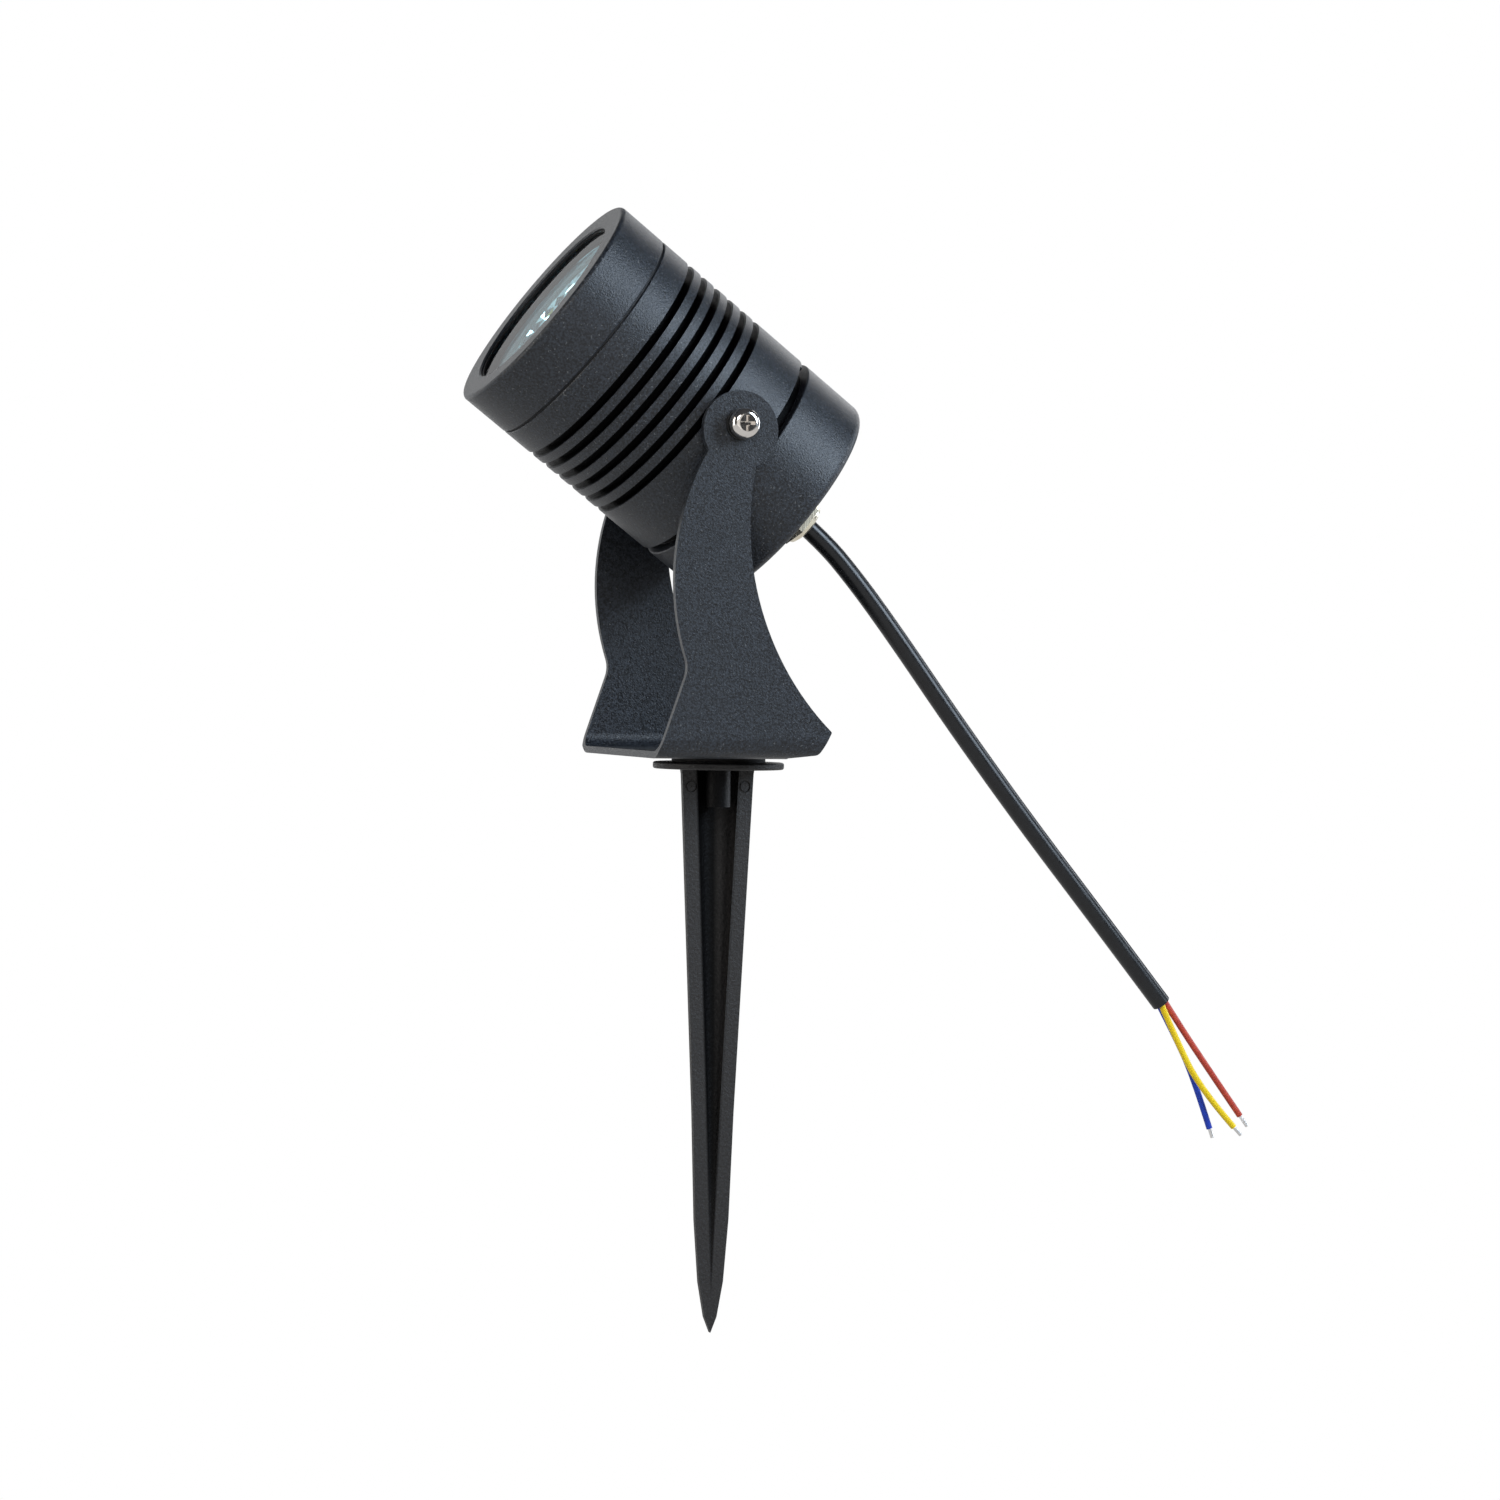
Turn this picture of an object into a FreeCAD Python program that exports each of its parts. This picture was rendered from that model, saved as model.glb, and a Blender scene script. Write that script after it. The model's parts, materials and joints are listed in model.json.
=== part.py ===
import FreeCAD, Part
import math
import os
import re
import Sketcher

# Garden spike spotlight: a finned round lamp head tilts in a bent sheet yoke, and the yoke swivels on a ground spike.
# Frame: millimetres, +Z up, origin at the centre of the spike flange's underside, where the ground's surface is.
# The lamp looks towards -X and up; the tilt axis runs along Y.
# Names ending in _r are radii, _d diameters, _af widths across flats, _t thicknesses.
DIMENSIONS = (
    # lamp head
    ("aim", 37.0, "lamp axis above horizontal, degrees"),
    ("pivot_ahead", 7.9, "tilt axis ahead of the spike's axis"),
    ("pivot_height", 96.7, "tilt axis above the ground"),
    ("head_r", 35.0, "outer radius of bezel, housing and cap"),
    ("cap_length", 21.6, "rear cap's outside band"),
    ("cap_gap", 2.4, "cooling gap between cap and housing"),
    ("housing_length", 52.3, "housing's outside band"),
    ("bezel_seam", 0.6, "seal between housing and bezel"),
    ("bezel_length", 15.1, "front bezel"),
    ("pivot_inset", 9.1, "tilt axis ahead of the housing's rear edge"),
    ("fin_first", 17.8, "middle of the first groove from the housing's rear edge"),
    ("fin_last", 9.75, "middle of the last groove from the housing's front edge"),
    ("fin_count", 6, "cooling grooves"),
    ("fin_groove", 2.3, "width of a cooling groove"),
    ("fin_depth", 4.0, "depth of a cooling groove"),
    ("relief_depth", 0.9, "shallow relief in the housing's rear edge beside each arm"),
    ("relief_angle", 116.0, "angle that each relief spans"),
    ("housing_wall", 9.0, "housing's wall round its bore"),
    ("rear_bay", 21.0, "depth of the driver bay in the housing"),
    ("partition_t", 6.0, "wall that carries the light source"),
    ("bezel_wall", 2.8, "bezel's wall round the threaded spigot"),
    ("thread_gap", 0.2, "radial clearance of the large threads"),
    ("cap_bore_step", 4.0, "from the housing's bore out to the counterbore that takes the cap"),
    ("cap_bore_depth", 6.0, "depth of that counterbore"),
    ("cap_neck_step", 1.5, "from that counterbore out to the neck inside the cooling gap"),
    ("cap_wall", 4.0, "rear wall and skirt of the cap"),
    ("edge_round", 1.2, "rounding of the bezel's front edge"),
    ("rear_round", 3.0, "rounding of the cap's rear edge"),
    ("edge_break", 0.25, "chamfer of the other turned edges"),
    ("oring_section_r", 0.93, "section of the cap's O-ring"),
    ("oring_groove", 1.8, "depth of the O-ring's groove"),
    # glass and its seals
    ("bezel_face", 8.0, "width of the bezel's front face"),
    ("lip_t", 0.9, "bezel lip over the glass"),
    ("lens_edge", 3.0, "glass under the bezel's lip"),
    ("lens_gap", 0.3, "clearance round the glass"),
    ("lens_t", 3.5, "glass disc"),
    ("gasket_t", 0.4, "seal in front of the glass"),
    ("gasket_width", 3.6, "both glass seals"),
    ("seat_ring_t", 1.0, "seal behind the glass"),
    # light source
    ("reflector_t", 1.0, "reflector wall"),
    ("reflector_foot_r", 8.5, "small opening of the reflector"),
    ("led_board_r", 17.0, "metal-core board"),
    ("led_board_t", 1.6, "metal-core board"),
    ("pad_t", 0.5, "thermal pad"),
    ("emitter_r", 7.0, "light-emitting disc"),
    ("emitter_t", 1.0, "light-emitting disc"),
    ("board_screw_inset", 2.8, "board's screws from its edge"),
    ("board_screw_r", 1.5, "M3"),
    ("board_screw_head_r", 2.6, "M3 pan head"),
    ("board_screw_head_t", 1.6, "M3 pan head"),
    ("board_screw_grip", 4.0, "screw in the partition"),
    ("reflector_gap", 0.3, "reflector above the board"),
    ("reflector_clear", 1.2, "reflector's mouth to the housing's bore"),
    ("wire_hole_r", 2.6, "way for the light source's wires"),
    ("wire_d", 1.2, "wires from the driver to the light source"),
    # driver
    ("driver_case_t", 1.2, "insulating case wall"),
    ("driver_case_gap", 0.4, "case to bore"),
    ("driver_case_end", 0.3, "case to partition"),
    ("driver_board_side", 4.4, "driver board's edges to its case"),
    ("driver_board_end", 0.5, "driver board's front end to its case"),
    ("driver_board_t", 1.6, "driver board"),
    ("driver_board_drop", 3.2, "driver board's face off the lamp's axis"),
    ("driver_start", 9.5, "driver board's rear end from the cap's rear face"),
    ("transformer_width", 15.0, "transformer"),
    ("transformer_height", 13.0, "transformer"),
    ("transformer_side", 3.0, "transformer's middle off the board's middle"),
    ("transformer_start", 15.0, "transformer from the board's rear end"),
    ("capacitor_r", 4.0, "smoothing capacitor"),
    ("capacitor_length", 13.0, "smoothing capacitor"),
    ("capacitor_side", 11.0, "capacitor's middle off the board's middle"),
    ("capacitor_start", 16.0, "capacitor from the board's rear end"),
    ("chip_t", 2.2, "small parts on the driver board"),
    # gland
    ("gland_thread_r", 6.0, "M12"),
    ("gland_af", 14.0, "hexagons of body and nut"),
    ("gland_gasket_t", 0.8, "seal under the gland"),
    ("gland_hex_t", 3.4, "body hexagon"),
    ("gland_open_t", 0.6, "thread seen between body and nut"),
    ("gland_thread_gap", 0.05, "radial clearance of the gland's threads"),
    ("gland_nut_length", 5.0, "clamping nut"),
    ("gland_bore_gap", 0.4, "radial clearance of the lead in the gland"),
    ("gland_seal_depth", 4.0, "rubber sleeve clamped on the lead"),
    ("locknut_af", 16.0, "nut inside the cap"),
    ("locknut_t", 3.0, "nut inside the cap"),
    # yoke
    ("arm_gap", 1.0, "lamp head to the inside of an arm"),
    ("yoke_t", 2.0, "sheet"),
    ("yoke_bend_r", 6.0, "outside of the bends"),
    ("yoke_clear", 3.7, "yoke's underside above the ground"),
    ("ear_r", 11.0, "round ear"),
    ("ear_drop", 1.5, "ear's middle below the tilt axis"),
    ("arm_front_r", 72.0, "bowed front edge of an arm"),
    ("arm_rear_r", 80.0, "hollow rear edge of an arm"),
    ("arm_front_x", 26.6, "furthest forward point of the bowed edge"),
    ("arm_front_z", 54.0, "height of that point"),
    ("arm_rear_x", 5.5, "narrowest place of the rear edge, ahead of the spike's axis"),
    ("arm_rear_z", 72.0, "height of that place"),
    ("arm_kink_z", 29.0, "bend in the front edge"),
    ("arm_kink_r", 8.0, "rounding of that bend"),
    ("foot_front", 30.2, "web's front edge ahead of the spike's axis"),
    ("foot_tip_x", 20.5, "rear tip of an arm behind the spike's axis"),
    ("foot_tip_z", 11.4, "height of that tip"),
    ("foot_rear", 9.0, "web's rear edge behind the spike's axis"),
    ("foot_corner_x", 17.3, "rear end of an arm's lower edge behind the spike's axis"),
    ("foot_corner_z", 4.9, "height of that end"),
    ("foot_corner_r", 1.5, "rounding of that end"),
    ("foot_tip_r", 0.5, "rounding of the rear tip"),
    ("foot_land", 0.25, "square edge left where the lower edge meets the web"),
    ("pivot_fit", 0.1, "radial clearance of the pivots"),
    ("run_gap", 0.05, "axial clearance of the pivots"),
    ("washer_gap", 0.15, "radial clearance of the washers on their screws"),
    ("screw_gap", 0.02, "radial clearance of the screw threads"),
    # tilt screws
    ("tilt_screw_r", 2.0, "M4"),
    ("tilt_screw_length", 12.0, "under the head"),
    ("tilt_head_r", 4.25, "pan head"),
    ("tilt_head_t", 3.2, "pan head"),
    ("tilt_washer_r", 4.5, "plain washer"),
    ("tilt_washer_t", 1.0, "plain washer"),
    ("tilt_spring_r", 3.7, "split washer"),
    ("tilt_spring_t", 1.3, "split washer"),
    ("tilt_hole_depth", 7.5, "threaded hole in the housing"),
    ("spot_r", 6.5, "flat for the friction washer"),
    ("spot_depth", 0.6, "flat for the friction washer"),
    ("friction_r", 6.0, "friction washer"),
    # spike
    ("flange_r", 19.0, "spike flange"),
    ("flange_t", 2.0, "spike flange"),
    ("pad_ring_r", 13.6, "rubber pad between flange and yoke"),
    ("spike_length", 164.0, "flange underside to tip"),
    ("collar_r", 1.2, "flare of the spike's back under the flange"),
    ("collar_drop", 1.5, "height of that flare"),
    ("spike_top", 10.9, "half width of the spike at the top"),
    ("spike_mid", 6.2, "half width at the shoulder of the taper"),
    ("spike_mid_z", 100.0, "depth of that shoulder"),
    ("spike_low", 5.1, "half width where the point begins"),
    ("point_length", 33.0, "point of the spike"),
    ("back_run_out", 8.0, "end of the round back below the start of the point"),
    ("lip_plate_t", 1.8, "flat lips of the spike"),
    ("valley_top", 6.4, "half width of the spike's channel at the top"),
    ("valley_mid", 1.9, "half width of the channel at the shoulder"),
    ("valley_stop", 14.0, "end of the channel above the spike's tip"),
    ("spike_wall", 2.4, "wall behind the channel"),
    ("boss_r", 3.6, "screw boss in the channel"),
    ("boss_length", 11.0, "screw boss in the channel"),
    ("boss_bore_depth", 10.0, "screw hole in the boss"),
    ("mark_d", 3.5, "round moulding marks on the lips"),
    ("mark_drop", 5.1, "moulding marks below the flange"),
    ("mark_line", 0.45, "width and depth of the marks' grooves"),
    # spike screw
    ("stake_screw_r", 2.0, "M4"),
    ("stake_screw_length", 17.0, "under the head"),
    ("stake_head_r", 4.75, "pan head"),
    ("stake_head_t", 3.4, "pan head"),
    ("stake_washer_r", 6.0, "plain washer"),
    ("stake_washer_t", 1.2, "plain washer"),
    ("stake_spring_r", 4.3, "split washer"),
    ("stake_spring_t", 1.3, "split washer"),
    # lead
    ("lead_d", 5.8, "mains lead"),
    ("core_d", 1.9, "insulated core"),
    ("conductor_d", 1.1, "tinned conductor"),
)

# What follows from those sizes: radii and widths first, then places along the lamp's axis, which are
# counted from the cap's rear face towards the front.
DERIVED = {
    "cavity_r": "head_r - housing_wall",
    "spigot_r": "head_r - bezel_wall - thread_gap",
    "cap_bore_r": "cavity_r + cap_bore_step",
    "cap_neck_r": "cap_bore_r + cap_neck_step",
    "window_r": "head_r - bezel_face",
    "lens_r": "window_r + lens_edge",
    "gasket_inner_r": "lens_r - gasket_width",
    "board_screw_circle": "led_board_r - board_screw_inset",
    "wire_hole_y": "(led_board_r + cavity_r) / 2",
    "case_outer_r": "cavity_r - driver_case_gap",
    "case_inner_r": "case_outer_r - driver_case_t",
    "driver_board_width": "2 * (case_inner_r - driver_board_side)",
    "driver_board_length": "case_front - driver_case_t - driver_board_end - driver_start",
    "fin_pitch": "(housing_length - fin_first - fin_last) / (fin_count - 1)",
    "yoke_width": "2 * (head_r + arm_gap + yoke_t)",
    "gland_bore_r": "lead_d / 2 + gland_bore_gap",
    "spike_low_z": "spike_length - point_length",
    "valley_end_z": "spike_length - valley_stop",
    "housing_rear": "cap_length + cap_gap",
    "pivot_at": "cap_length + cap_gap + pivot_inset",
    "partition_rear": "cap_length + cap_gap + rear_bay",
    "case_front": "partition_rear - driver_case_end",
    "partition_front": "cap_length + cap_gap + rear_bay + partition_t",
    "housing_front": "cap_length + cap_gap + housing_length",
    "bezel_rear": "cap_length + cap_gap + housing_length + bezel_seam",
    "bezel_front": "cap_length + cap_gap + housing_length + bezel_seam + bezel_length",
    "lens_front": "bezel_front - lip_t - gasket_t",
    "lens_rear": "bezel_front - lip_t - gasket_t - lens_t",
    "spigot_end": "bezel_front - lip_t - gasket_t - lens_t - seat_ring_t",
    "board_rear": "partition_front + pad_t",
    "board_front": "partition_front + pad_t + led_board_t",
}

# The lead's route in the plane of the lamp's axis, as (x, z) from inside the gland to the end of its sheath.
LEAD_ROUTE = (
    (17.6, 77.5),
    (30.5, 67.8),
    (42.4, 54.9),
    (56.2, 37.6),
    (74.8, 13.0),
    (98.5, -16.6),
    (122.3, -44.8),
    (143.8, -70.7),
)

# Each core's route as (x, y, z) from the end of the sheath to the end of its insulation.
CORE_ROUTES = {
    "lead_core_brown": (
        (144.8, 0.0, -70.0),
        (151.0, 0.1, -78.8),
        (160.6, 0.3, -91.6),
        (171.4, 0.2, -105.9),
    ),
    "lead_core_blue": (
        (143.55, 1.0, -71.2),
        (148.6, 1.3, -79.7),
        (155.8, 1.5, -93.2),
        (161.6, 1.2, -109.7),
    ),
    "lead_core_yellow": (
        (143.5, -1.05, -71.3),
        (148.4, -1.6, -82.0),
        (156.6, -1.9, -96.9),
        (168.5, -1.4, -109.1),
    ),
}
CONDUCTOR_BARE = {"lead_core_brown": 4.2, "lead_core_blue": 3.0, "lead_core_yellow": 3.6}
ARC_SHARE = 0.45

# Outline of the spike's point: share of its half width at a share of its length.
POINT_OUTLINE = ((0.72, 0.55), (0.36, 0.86))
# Outline of the reflector: share of its widening at a share of its depth.
REFLECTOR_OUTLINE = ((0.0, 0.0), (0.42, 0.25), (0.74, 0.55), (1.0, 1.0))
# Small parts on the driver board: (across, along, width, length), measured from the middle of its rear end.
CHIPS = ((-12, 3, 6, 4), (0, 4, 5, 5), (10, 3, 7, 6))

doc = FreeCAD.newDocument("GardenSpotlight")
sheet = doc.addObject("Spreadsheet::Sheet", "Dimensions")
for row, (alias, number, note) in enumerate(DIMENSIONS, start=1):
    sheet.set(f"A{row}", alias.replace("_", " "))
    sheet.set(f"B{row}", str(number))
    sheet.setAlias(f"B{row}", alias)
    sheet.set(f"C{row}", note)
doc.recompute()

ALIASES = {alias for alias, number, note in DIMENSIONS}
PARTS = []


def formula(text):
    """Write out derived sizes and point every alias at the sheet."""
    while any(re.search(rf"\b{name}\b", text) for name in DERIVED):
        text = re.sub(r"\b[a-z_]+\b", lambda m: f"({DERIVED[m[0]]})" if m[0] in DERIVED else m[0], text)
    return re.sub(r"\b[a-z_]+\b", lambda m: f"Dimensions.{m[0]}" if m[0] in ALIASES else m[0], text)


def size(text):
    """Value of a formula of sizes."""
    return float(sheet.evalExpression(formula(text)))


def bind(thing, prop, text):
    thing.setExpression(prop, formula(text))


def vector(x, y, z):
    return FreeCAD.Vector(x, y, z)


def add_body(name):
    return doc.addObject("PartDesign::Body", name)


def origin_feature(body, role):
    return next(f for f in body.Origin.OriginFeatures if f.Role == role)


def add_sketch(body, name, plane, offset=None):
    """Sketch on one of the body's origin planes, moved along the plane's normal by a formula."""
    sketch = body.newObject("Sketcher::SketchObject", name)
    sketch.AttachmentSupport = [(origin_feature(body, plane), "")]
    sketch.MapMode = "FlatFace"
    if offset:
        bind(sketch, "AttachmentOffset.Base.z", offset)
    return sketch


def pin_point(sketch, edge, end, x, y, label):
    """Hold a point at the place that two formulas give."""
    for kind, axis, text in (("DistanceX", -2, x), ("DistanceY", -1, y)):
        number = size(text)
        if abs(number) < 1e-9:
            sketch.addConstraint(Sketcher.Constraint("PointOnObject", edge, end, axis))
            continue
        index = sketch.addConstraint(Sketcher.Constraint(kind, -1, 1, edge, end, number))
        sketch.renameConstraint(index, f"{label}_{kind[-1]}")
        bind(sketch, f"Constraints.{label}_{kind[-1]}", text)


def add_polygon(sketch, points, label="p"):
    """Closed outline through points given as pairs of formulas."""
    places = [vector(size(x), size(y), 0) for x, y in points]
    first = sketch.GeometryCount
    count = len(points)
    for i in range(count):
        sketch.addGeometry(Part.LineSegment(places[i], places[(i + 1) % count]), False)
    for i in range(count):
        sketch.addConstraint(Sketcher.Constraint("Coincident", first + i, 2, first + (i + 1) % count, 1))
    for i, (x, y) in enumerate(points):
        pin_point(sketch, first + i, 1, x, y, f"{label}{i}")


def add_circle(sketch, radius, x="0", y="0", label="c"):
    edge = sketch.addGeometry(Part.Circle(vector(size(x), size(y), 0), vector(0, 0, 1), size(radius)), False)
    index = sketch.addConstraint(Sketcher.Constraint("Radius", edge, size(radius)))
    sketch.renameConstraint(index, f"{label}_radius")
    bind(sketch, f"Constraints.{label}_radius", radius)
    if size(x) == 0 and size(y) == 0:
        sketch.addConstraint(Sketcher.Constraint("Coincident", edge, 3, -1, 1))
    else:
        pin_point(sketch, edge, 3, x, y, label)


def add_hexagon(sketch, across_flats, label="h"):
    points = []
    for corner in range(6):
        x = f"{across_flats} / sqrt(3) * cos({60 * corner}deg)"
        y = f"{across_flats} / sqrt(3) * sin({60 * corner}deg)"
        points.append((x, y))
    add_polygon(sketch, points, label)


def add_revolution(body, name, points, kind="PartDesign::Revolution", axis="V_Axis", plane="XZ_Plane"):
    sketch = add_sketch(body, name + "_profile", plane)
    add_polygon(sketch, points)
    turned = body.newObject(kind, name)
    turned.Profile = sketch
    turned.ReferenceAxis = (sketch, [axis])
    turned.Angle = 360
    body.Tip = turned
    return turned


def add_pad(body, sketch, length, name, both=False, downward=False):
    pad = body.newObject("PartDesign::Pad", name)
    pad.Profile = sketch
    bind(pad, "Length", length)
    pad.Midplane = both
    pad.Reversed = downward
    body.Tip = pad
    return pad


def add_pocket(body, sketch, depth, name, reverse=False, both=False):
    """Pocket that has to take something away."""
    before = body.Tip.Shape.Volume if body.Tip.Shape.Solids else 0
    pocket = body.newObject("PartDesign::Pocket", name)
    pocket.Profile = sketch
    bind(pocket, "Length", depth)
    pocket.Midplane = both
    pocket.Reversed = reverse
    body.Tip = pocket
    doc.recompute()
    if pocket.Shape.Volume >= before - 1e-6:
        raise RuntimeError(f"{name} cuts nothing")
    return pocket


def edges_where(shape, test):
    return [f"Edge{i}" for i, edge in enumerate(shape.Edges, start=1) if test(edge)]


def circle_edges(shape, radius, station):
    def test(edge):
        curve = edge.Curve
        round_edge = isinstance(curve, Part.Circle) and abs(curve.Radius - radius) < 1e-4
        return round_edge and abs(curve.Center.z - station) < 1e-4

    return edges_where(shape, test)


def round_edges(body, name, edges, radius, kind="PartDesign::Fillet"):
    before = body.Tip
    if not edges:
        raise RuntimeError(f"{name} found no edge")
    feature = body.newObject(kind, name)
    feature.Base = (before, edges)
    bind(feature, "Radius" if kind.endswith("Fillet") else "Size", radius)
    body.Tip = feature
    doc.recompute()
    return feature


def finish(thing, label, placement=None):
    thing.Label = label
    if placement is not None:
        thing.Placement = placement
    PARTS.append(thing)


# Places of the assemblies.
PIVOT = vector(-size("pivot_ahead"), 0, size("pivot_height"))
HEAD_TURN = FreeCAD.Rotation(vector(0, 1, 0), size("aim") - 90)
LAMP_AXIS = HEAD_TURN.multVec(vector(0, 0, 1))
HEAD_PLACE = FreeCAD.Placement(PIVOT - LAMP_AXIS * size("pivot_at"), HEAD_TURN)


def head_place(station):
    """Placement of a piece whose own origin lies on the lamp's axis at a station."""
    return FreeCAD.Placement(PIVOT - LAMP_AXIS * (size("pivot_at") - size(station)), HEAD_TURN)


def lamp_ring(name, points):
    """A turned piece of the lamp, drawn as (radius, station)."""
    body = add_body(name + "_body")
    add_revolution(body, name + "_turned", points)
    doc.recompute()
    return body


def washer(name, outer, inner, thickness):
    body = add_body(name + "_body")
    sketch = add_sketch(body, name + "_ring", "XY_Plane")
    add_circle(sketch, outer, label="outer")
    add_circle(sketch, inner, label="inner")
    add_pad(body, sketch, thickness, name + "_disc")
    return body


def pan_screw(name, shank, length, head, head_thickness):
    """Cross-recessed pan head screw: under-head plane at z 0, shank downwards."""
    body = add_body(name + "_body")
    length = f"({length})"
    profile = (
        ("0", f"-{length}"),
        (f"{shank} - 0.4", f"-{length}"),
        (shank, f"0.6 - {length}"),
        (shank, "0"),
        (head, "0"),
        (head, head_thickness),
        ("0", head_thickness),
    )
    add_revolution(body, name + "_turned", profile)
    doc.recompute()
    top = circle_edges(body.Tip.Shape, size(head), size(head_thickness))
    round_edges(body, name + "_crown", top, f"0.62 * {head_thickness}")
    sketch = add_sketch(body, name + "_cross", "XY_Plane", head_thickness)
    arm = f"0.52 * {head}"
    half = f"0.11 * {head}"
    add_polygon(
        sketch,
        (
            (arm, f"-{half}"),
            (arm, half),
            (half, half),
            (half, arm),
            (f"-{half}", arm),
            (f"-{half}", half),
            (f"-{arm}", half),
            (f"-{arm}", f"-{half}"),
            (f"-{half}", f"-{half}"),
            (f"-{half}", f"-{arm}"),
            (half, f"-{arm}"),
            (half, f"-{half}"),
        ),
    )
    add_pocket(body, sketch, f"0.6 * {head_thickness}", name + "_recess")
    return body


def split_washer(name, outer, inner, thickness):
    """Split lock washer, closed flat, with its slit."""
    body = washer(name, outer, inner, thickness)
    doc.recompute()
    sketch = add_sketch(body, name + "_slit", "XY_Plane", thickness)
    add_polygon(
        sketch,
        (
            (f"{inner} - 0.3", "-0.25"),
            (f"{outer} + 0.3", "-0.25"),
            (f"{outer} + 0.3", "0.25"),
            (f"{inner} - 0.3", "0.25"),
        ),
    )
    add_pocket(body, sketch, f"{thickness} + 0.1", name + "_cut")
    return body


def mirrored_pair(name, body):
    """The piece beside the near arm and its twin beside the far arm, as one group."""
    twin = doc.addObject("Part::Mirroring", name + "_far")
    twin.Source = body
    twin.Normal = vector(0, 1, 0)
    group = doc.addObject("Part::Compound", name + "_pair")
    group.Links = [body, twin]
    finish(group, name)


def near_side(distance):
    """Placement on the tilt axis, +Z of the piece pointing out of the near arm."""
    return FreeCAD.Placement(PIVOT - vector(0, distance, 0), FreeCAD.Rotation(vector(1, 0, 0), 90))


def pipe_path(points):
    """Straight runs joined by tangent arcs, and the radius of each arc."""
    edges = []
    radii = []
    start = points[0]
    for before, corner, after in zip(points, points[1:], points[2:]):
        into = (corner - before).normalize()
        out = (after - corner).normalize()
        turn = into.getAngle(out)
        shorter = min((corner - before).Length, (after - corner).Length)
        reach = ARC_SHARE * shorter
        radii.append(reach / math.tan(turn / 2))
        first = corner - into * reach
        last = corner + out * reach
        towards = (out - into).normalize()
        middle = corner + towards * (radii[-1] / math.cos(turn / 2) - radii[-1])
        edges.append(Part.LineSegment(start, first).toShape())
        edges.append(Part.Arc(first, middle, last).toShape())
        start = last
    edges.append(Part.LineSegment(start, points[-1]).toShape())
    return Part.Wire(edges), radii


def pipe_solid(points, diameter):
    path, radii = pipe_path(points)
    direction = points[1] - points[0]
    ring = Part.Wire([Part.Circle(points[0], direction, diameter / 2).toShape()])
    solid = path.makePipeShell([ring], True, False)
    return solid, path.Length, radii


def cord(label, points, diameter):
    solid, length, radii = pipe_solid(points, diameter)
    expected = math.pi * diameter**2 / 4 * length
    shown = ", ".join(f"{radius:.0f}" for radius in radii)
    print(f"{label}: length {length:.1f}, radii {shown}, volume {solid.Volume:.1f} of {expected:.1f}")
    feature = doc.addObject("Part::Feature", label + "_tube")
    feature.Shape = solid
    finish(feature, label, FreeCAD.Placement())
    return length


# Ground spike: a flange, a half-round channel with flat lips either side, and a screw boss in the channel.
def ground_spike():
    body = add_body("ground_spike_body")
    back = (
        ("0", "flange_t"),
        ("flange_r", "flange_t"),
        ("flange_r", "0"),
        ("valley_top + spike_wall + collar_r", "0"),
        ("valley_top + spike_wall", "-collar_drop"),
        ("valley_mid + spike_wall", "-spike_mid_z"),
        ("0.62 * (valley_mid + spike_wall)", "-(spike_low_z) - back_run_out"),
        ("0", "-spike_length"),
    )
    add_revolution(body, "spike_back", back)
    doc.recompute()
    front = add_sketch(body, "spike_front_side", "XY_Plane")
    add_polygon(
        front,
        (("-flange_r", "-flange_r"), ("flange_r", "-flange_r"), ("flange_r", "0"), ("-flange_r", "0")),
    )
    add_pocket(body, front, "spike_length + 1", "spike_front_open")
    lips = add_sketch(body, "spike_lips", "XZ_Plane")
    half = [
        ("spike_top + 0.3 * collar_r", "0.3 * flange_t"),
        ("spike_top", "-collar_drop"),
        ("spike_mid", "-spike_mid_z"),
        ("spike_low", "-(spike_low_z)"),
    ]
    for width, depth in POINT_OUTLINE:
        half.append((f"{width} * spike_low", f"-(spike_low_z) - {depth} * point_length"))
    outline = half + [("0", "-spike_length")]
    outline += [(f"-({x})", z) for x, z in reversed(half)]
    add_polygon(lips, outline)
    # The plane's normal points to -Y, so the plate grows backwards.
    add_pad(body, lips, "lip_plate_t", "spike_plate", downward=True)
    doc.recompute()
    valley = (
        ("0", "-0.01"),
        ("valley_top", "-0.01"),
        ("valley_mid", "-spike_mid_z"),
        ("0", "-(valley_end_z)"),
    )
    add_revolution(body, "spike_valley", valley, kind="PartDesign::Groove")
    doc.recompute()
    boss = add_sketch(body, "spike_boss_ring", "XY_Plane")
    add_circle(boss, "boss_r")
    add_pad(body, boss, "boss_length", "spike_boss", downward=True)
    doc.recompute()
    bore = add_sketch(body, "spike_bore_ring", "XY_Plane", "flange_t")
    add_circle(bore, "stake_screw_r + screw_gap")
    add_pocket(body, bore, "flange_t + boss_bore_depth", "spike_bore")
    marks = add_sketch(body, "spike_mark_rings", "XZ_Plane")
    middle = "((spike_top + valley_top) / 2 - mark_line)"
    for side, name in (("-", "left"), ("", "right")):
        add_circle(marks, "mark_d / 2", side + middle, "-mark_drop", f"{name}_out")
        add_circle(marks, "mark_d / 2 - mark_line", side + middle, "-mark_drop", f"{name}_in")
    add_pocket(body, marks, "mark_line", "spike_marks")
    rims = circle_edges(body.Tip.Shape, size("flange_r"), 0)
    rims += circle_edges(body.Tip.Shape, size("flange_r"), size("flange_t"))
    round_edges(body, "spike_flange_round", rims, "0.3 * flange_t")
    finish(body, "ground_spike")


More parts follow.
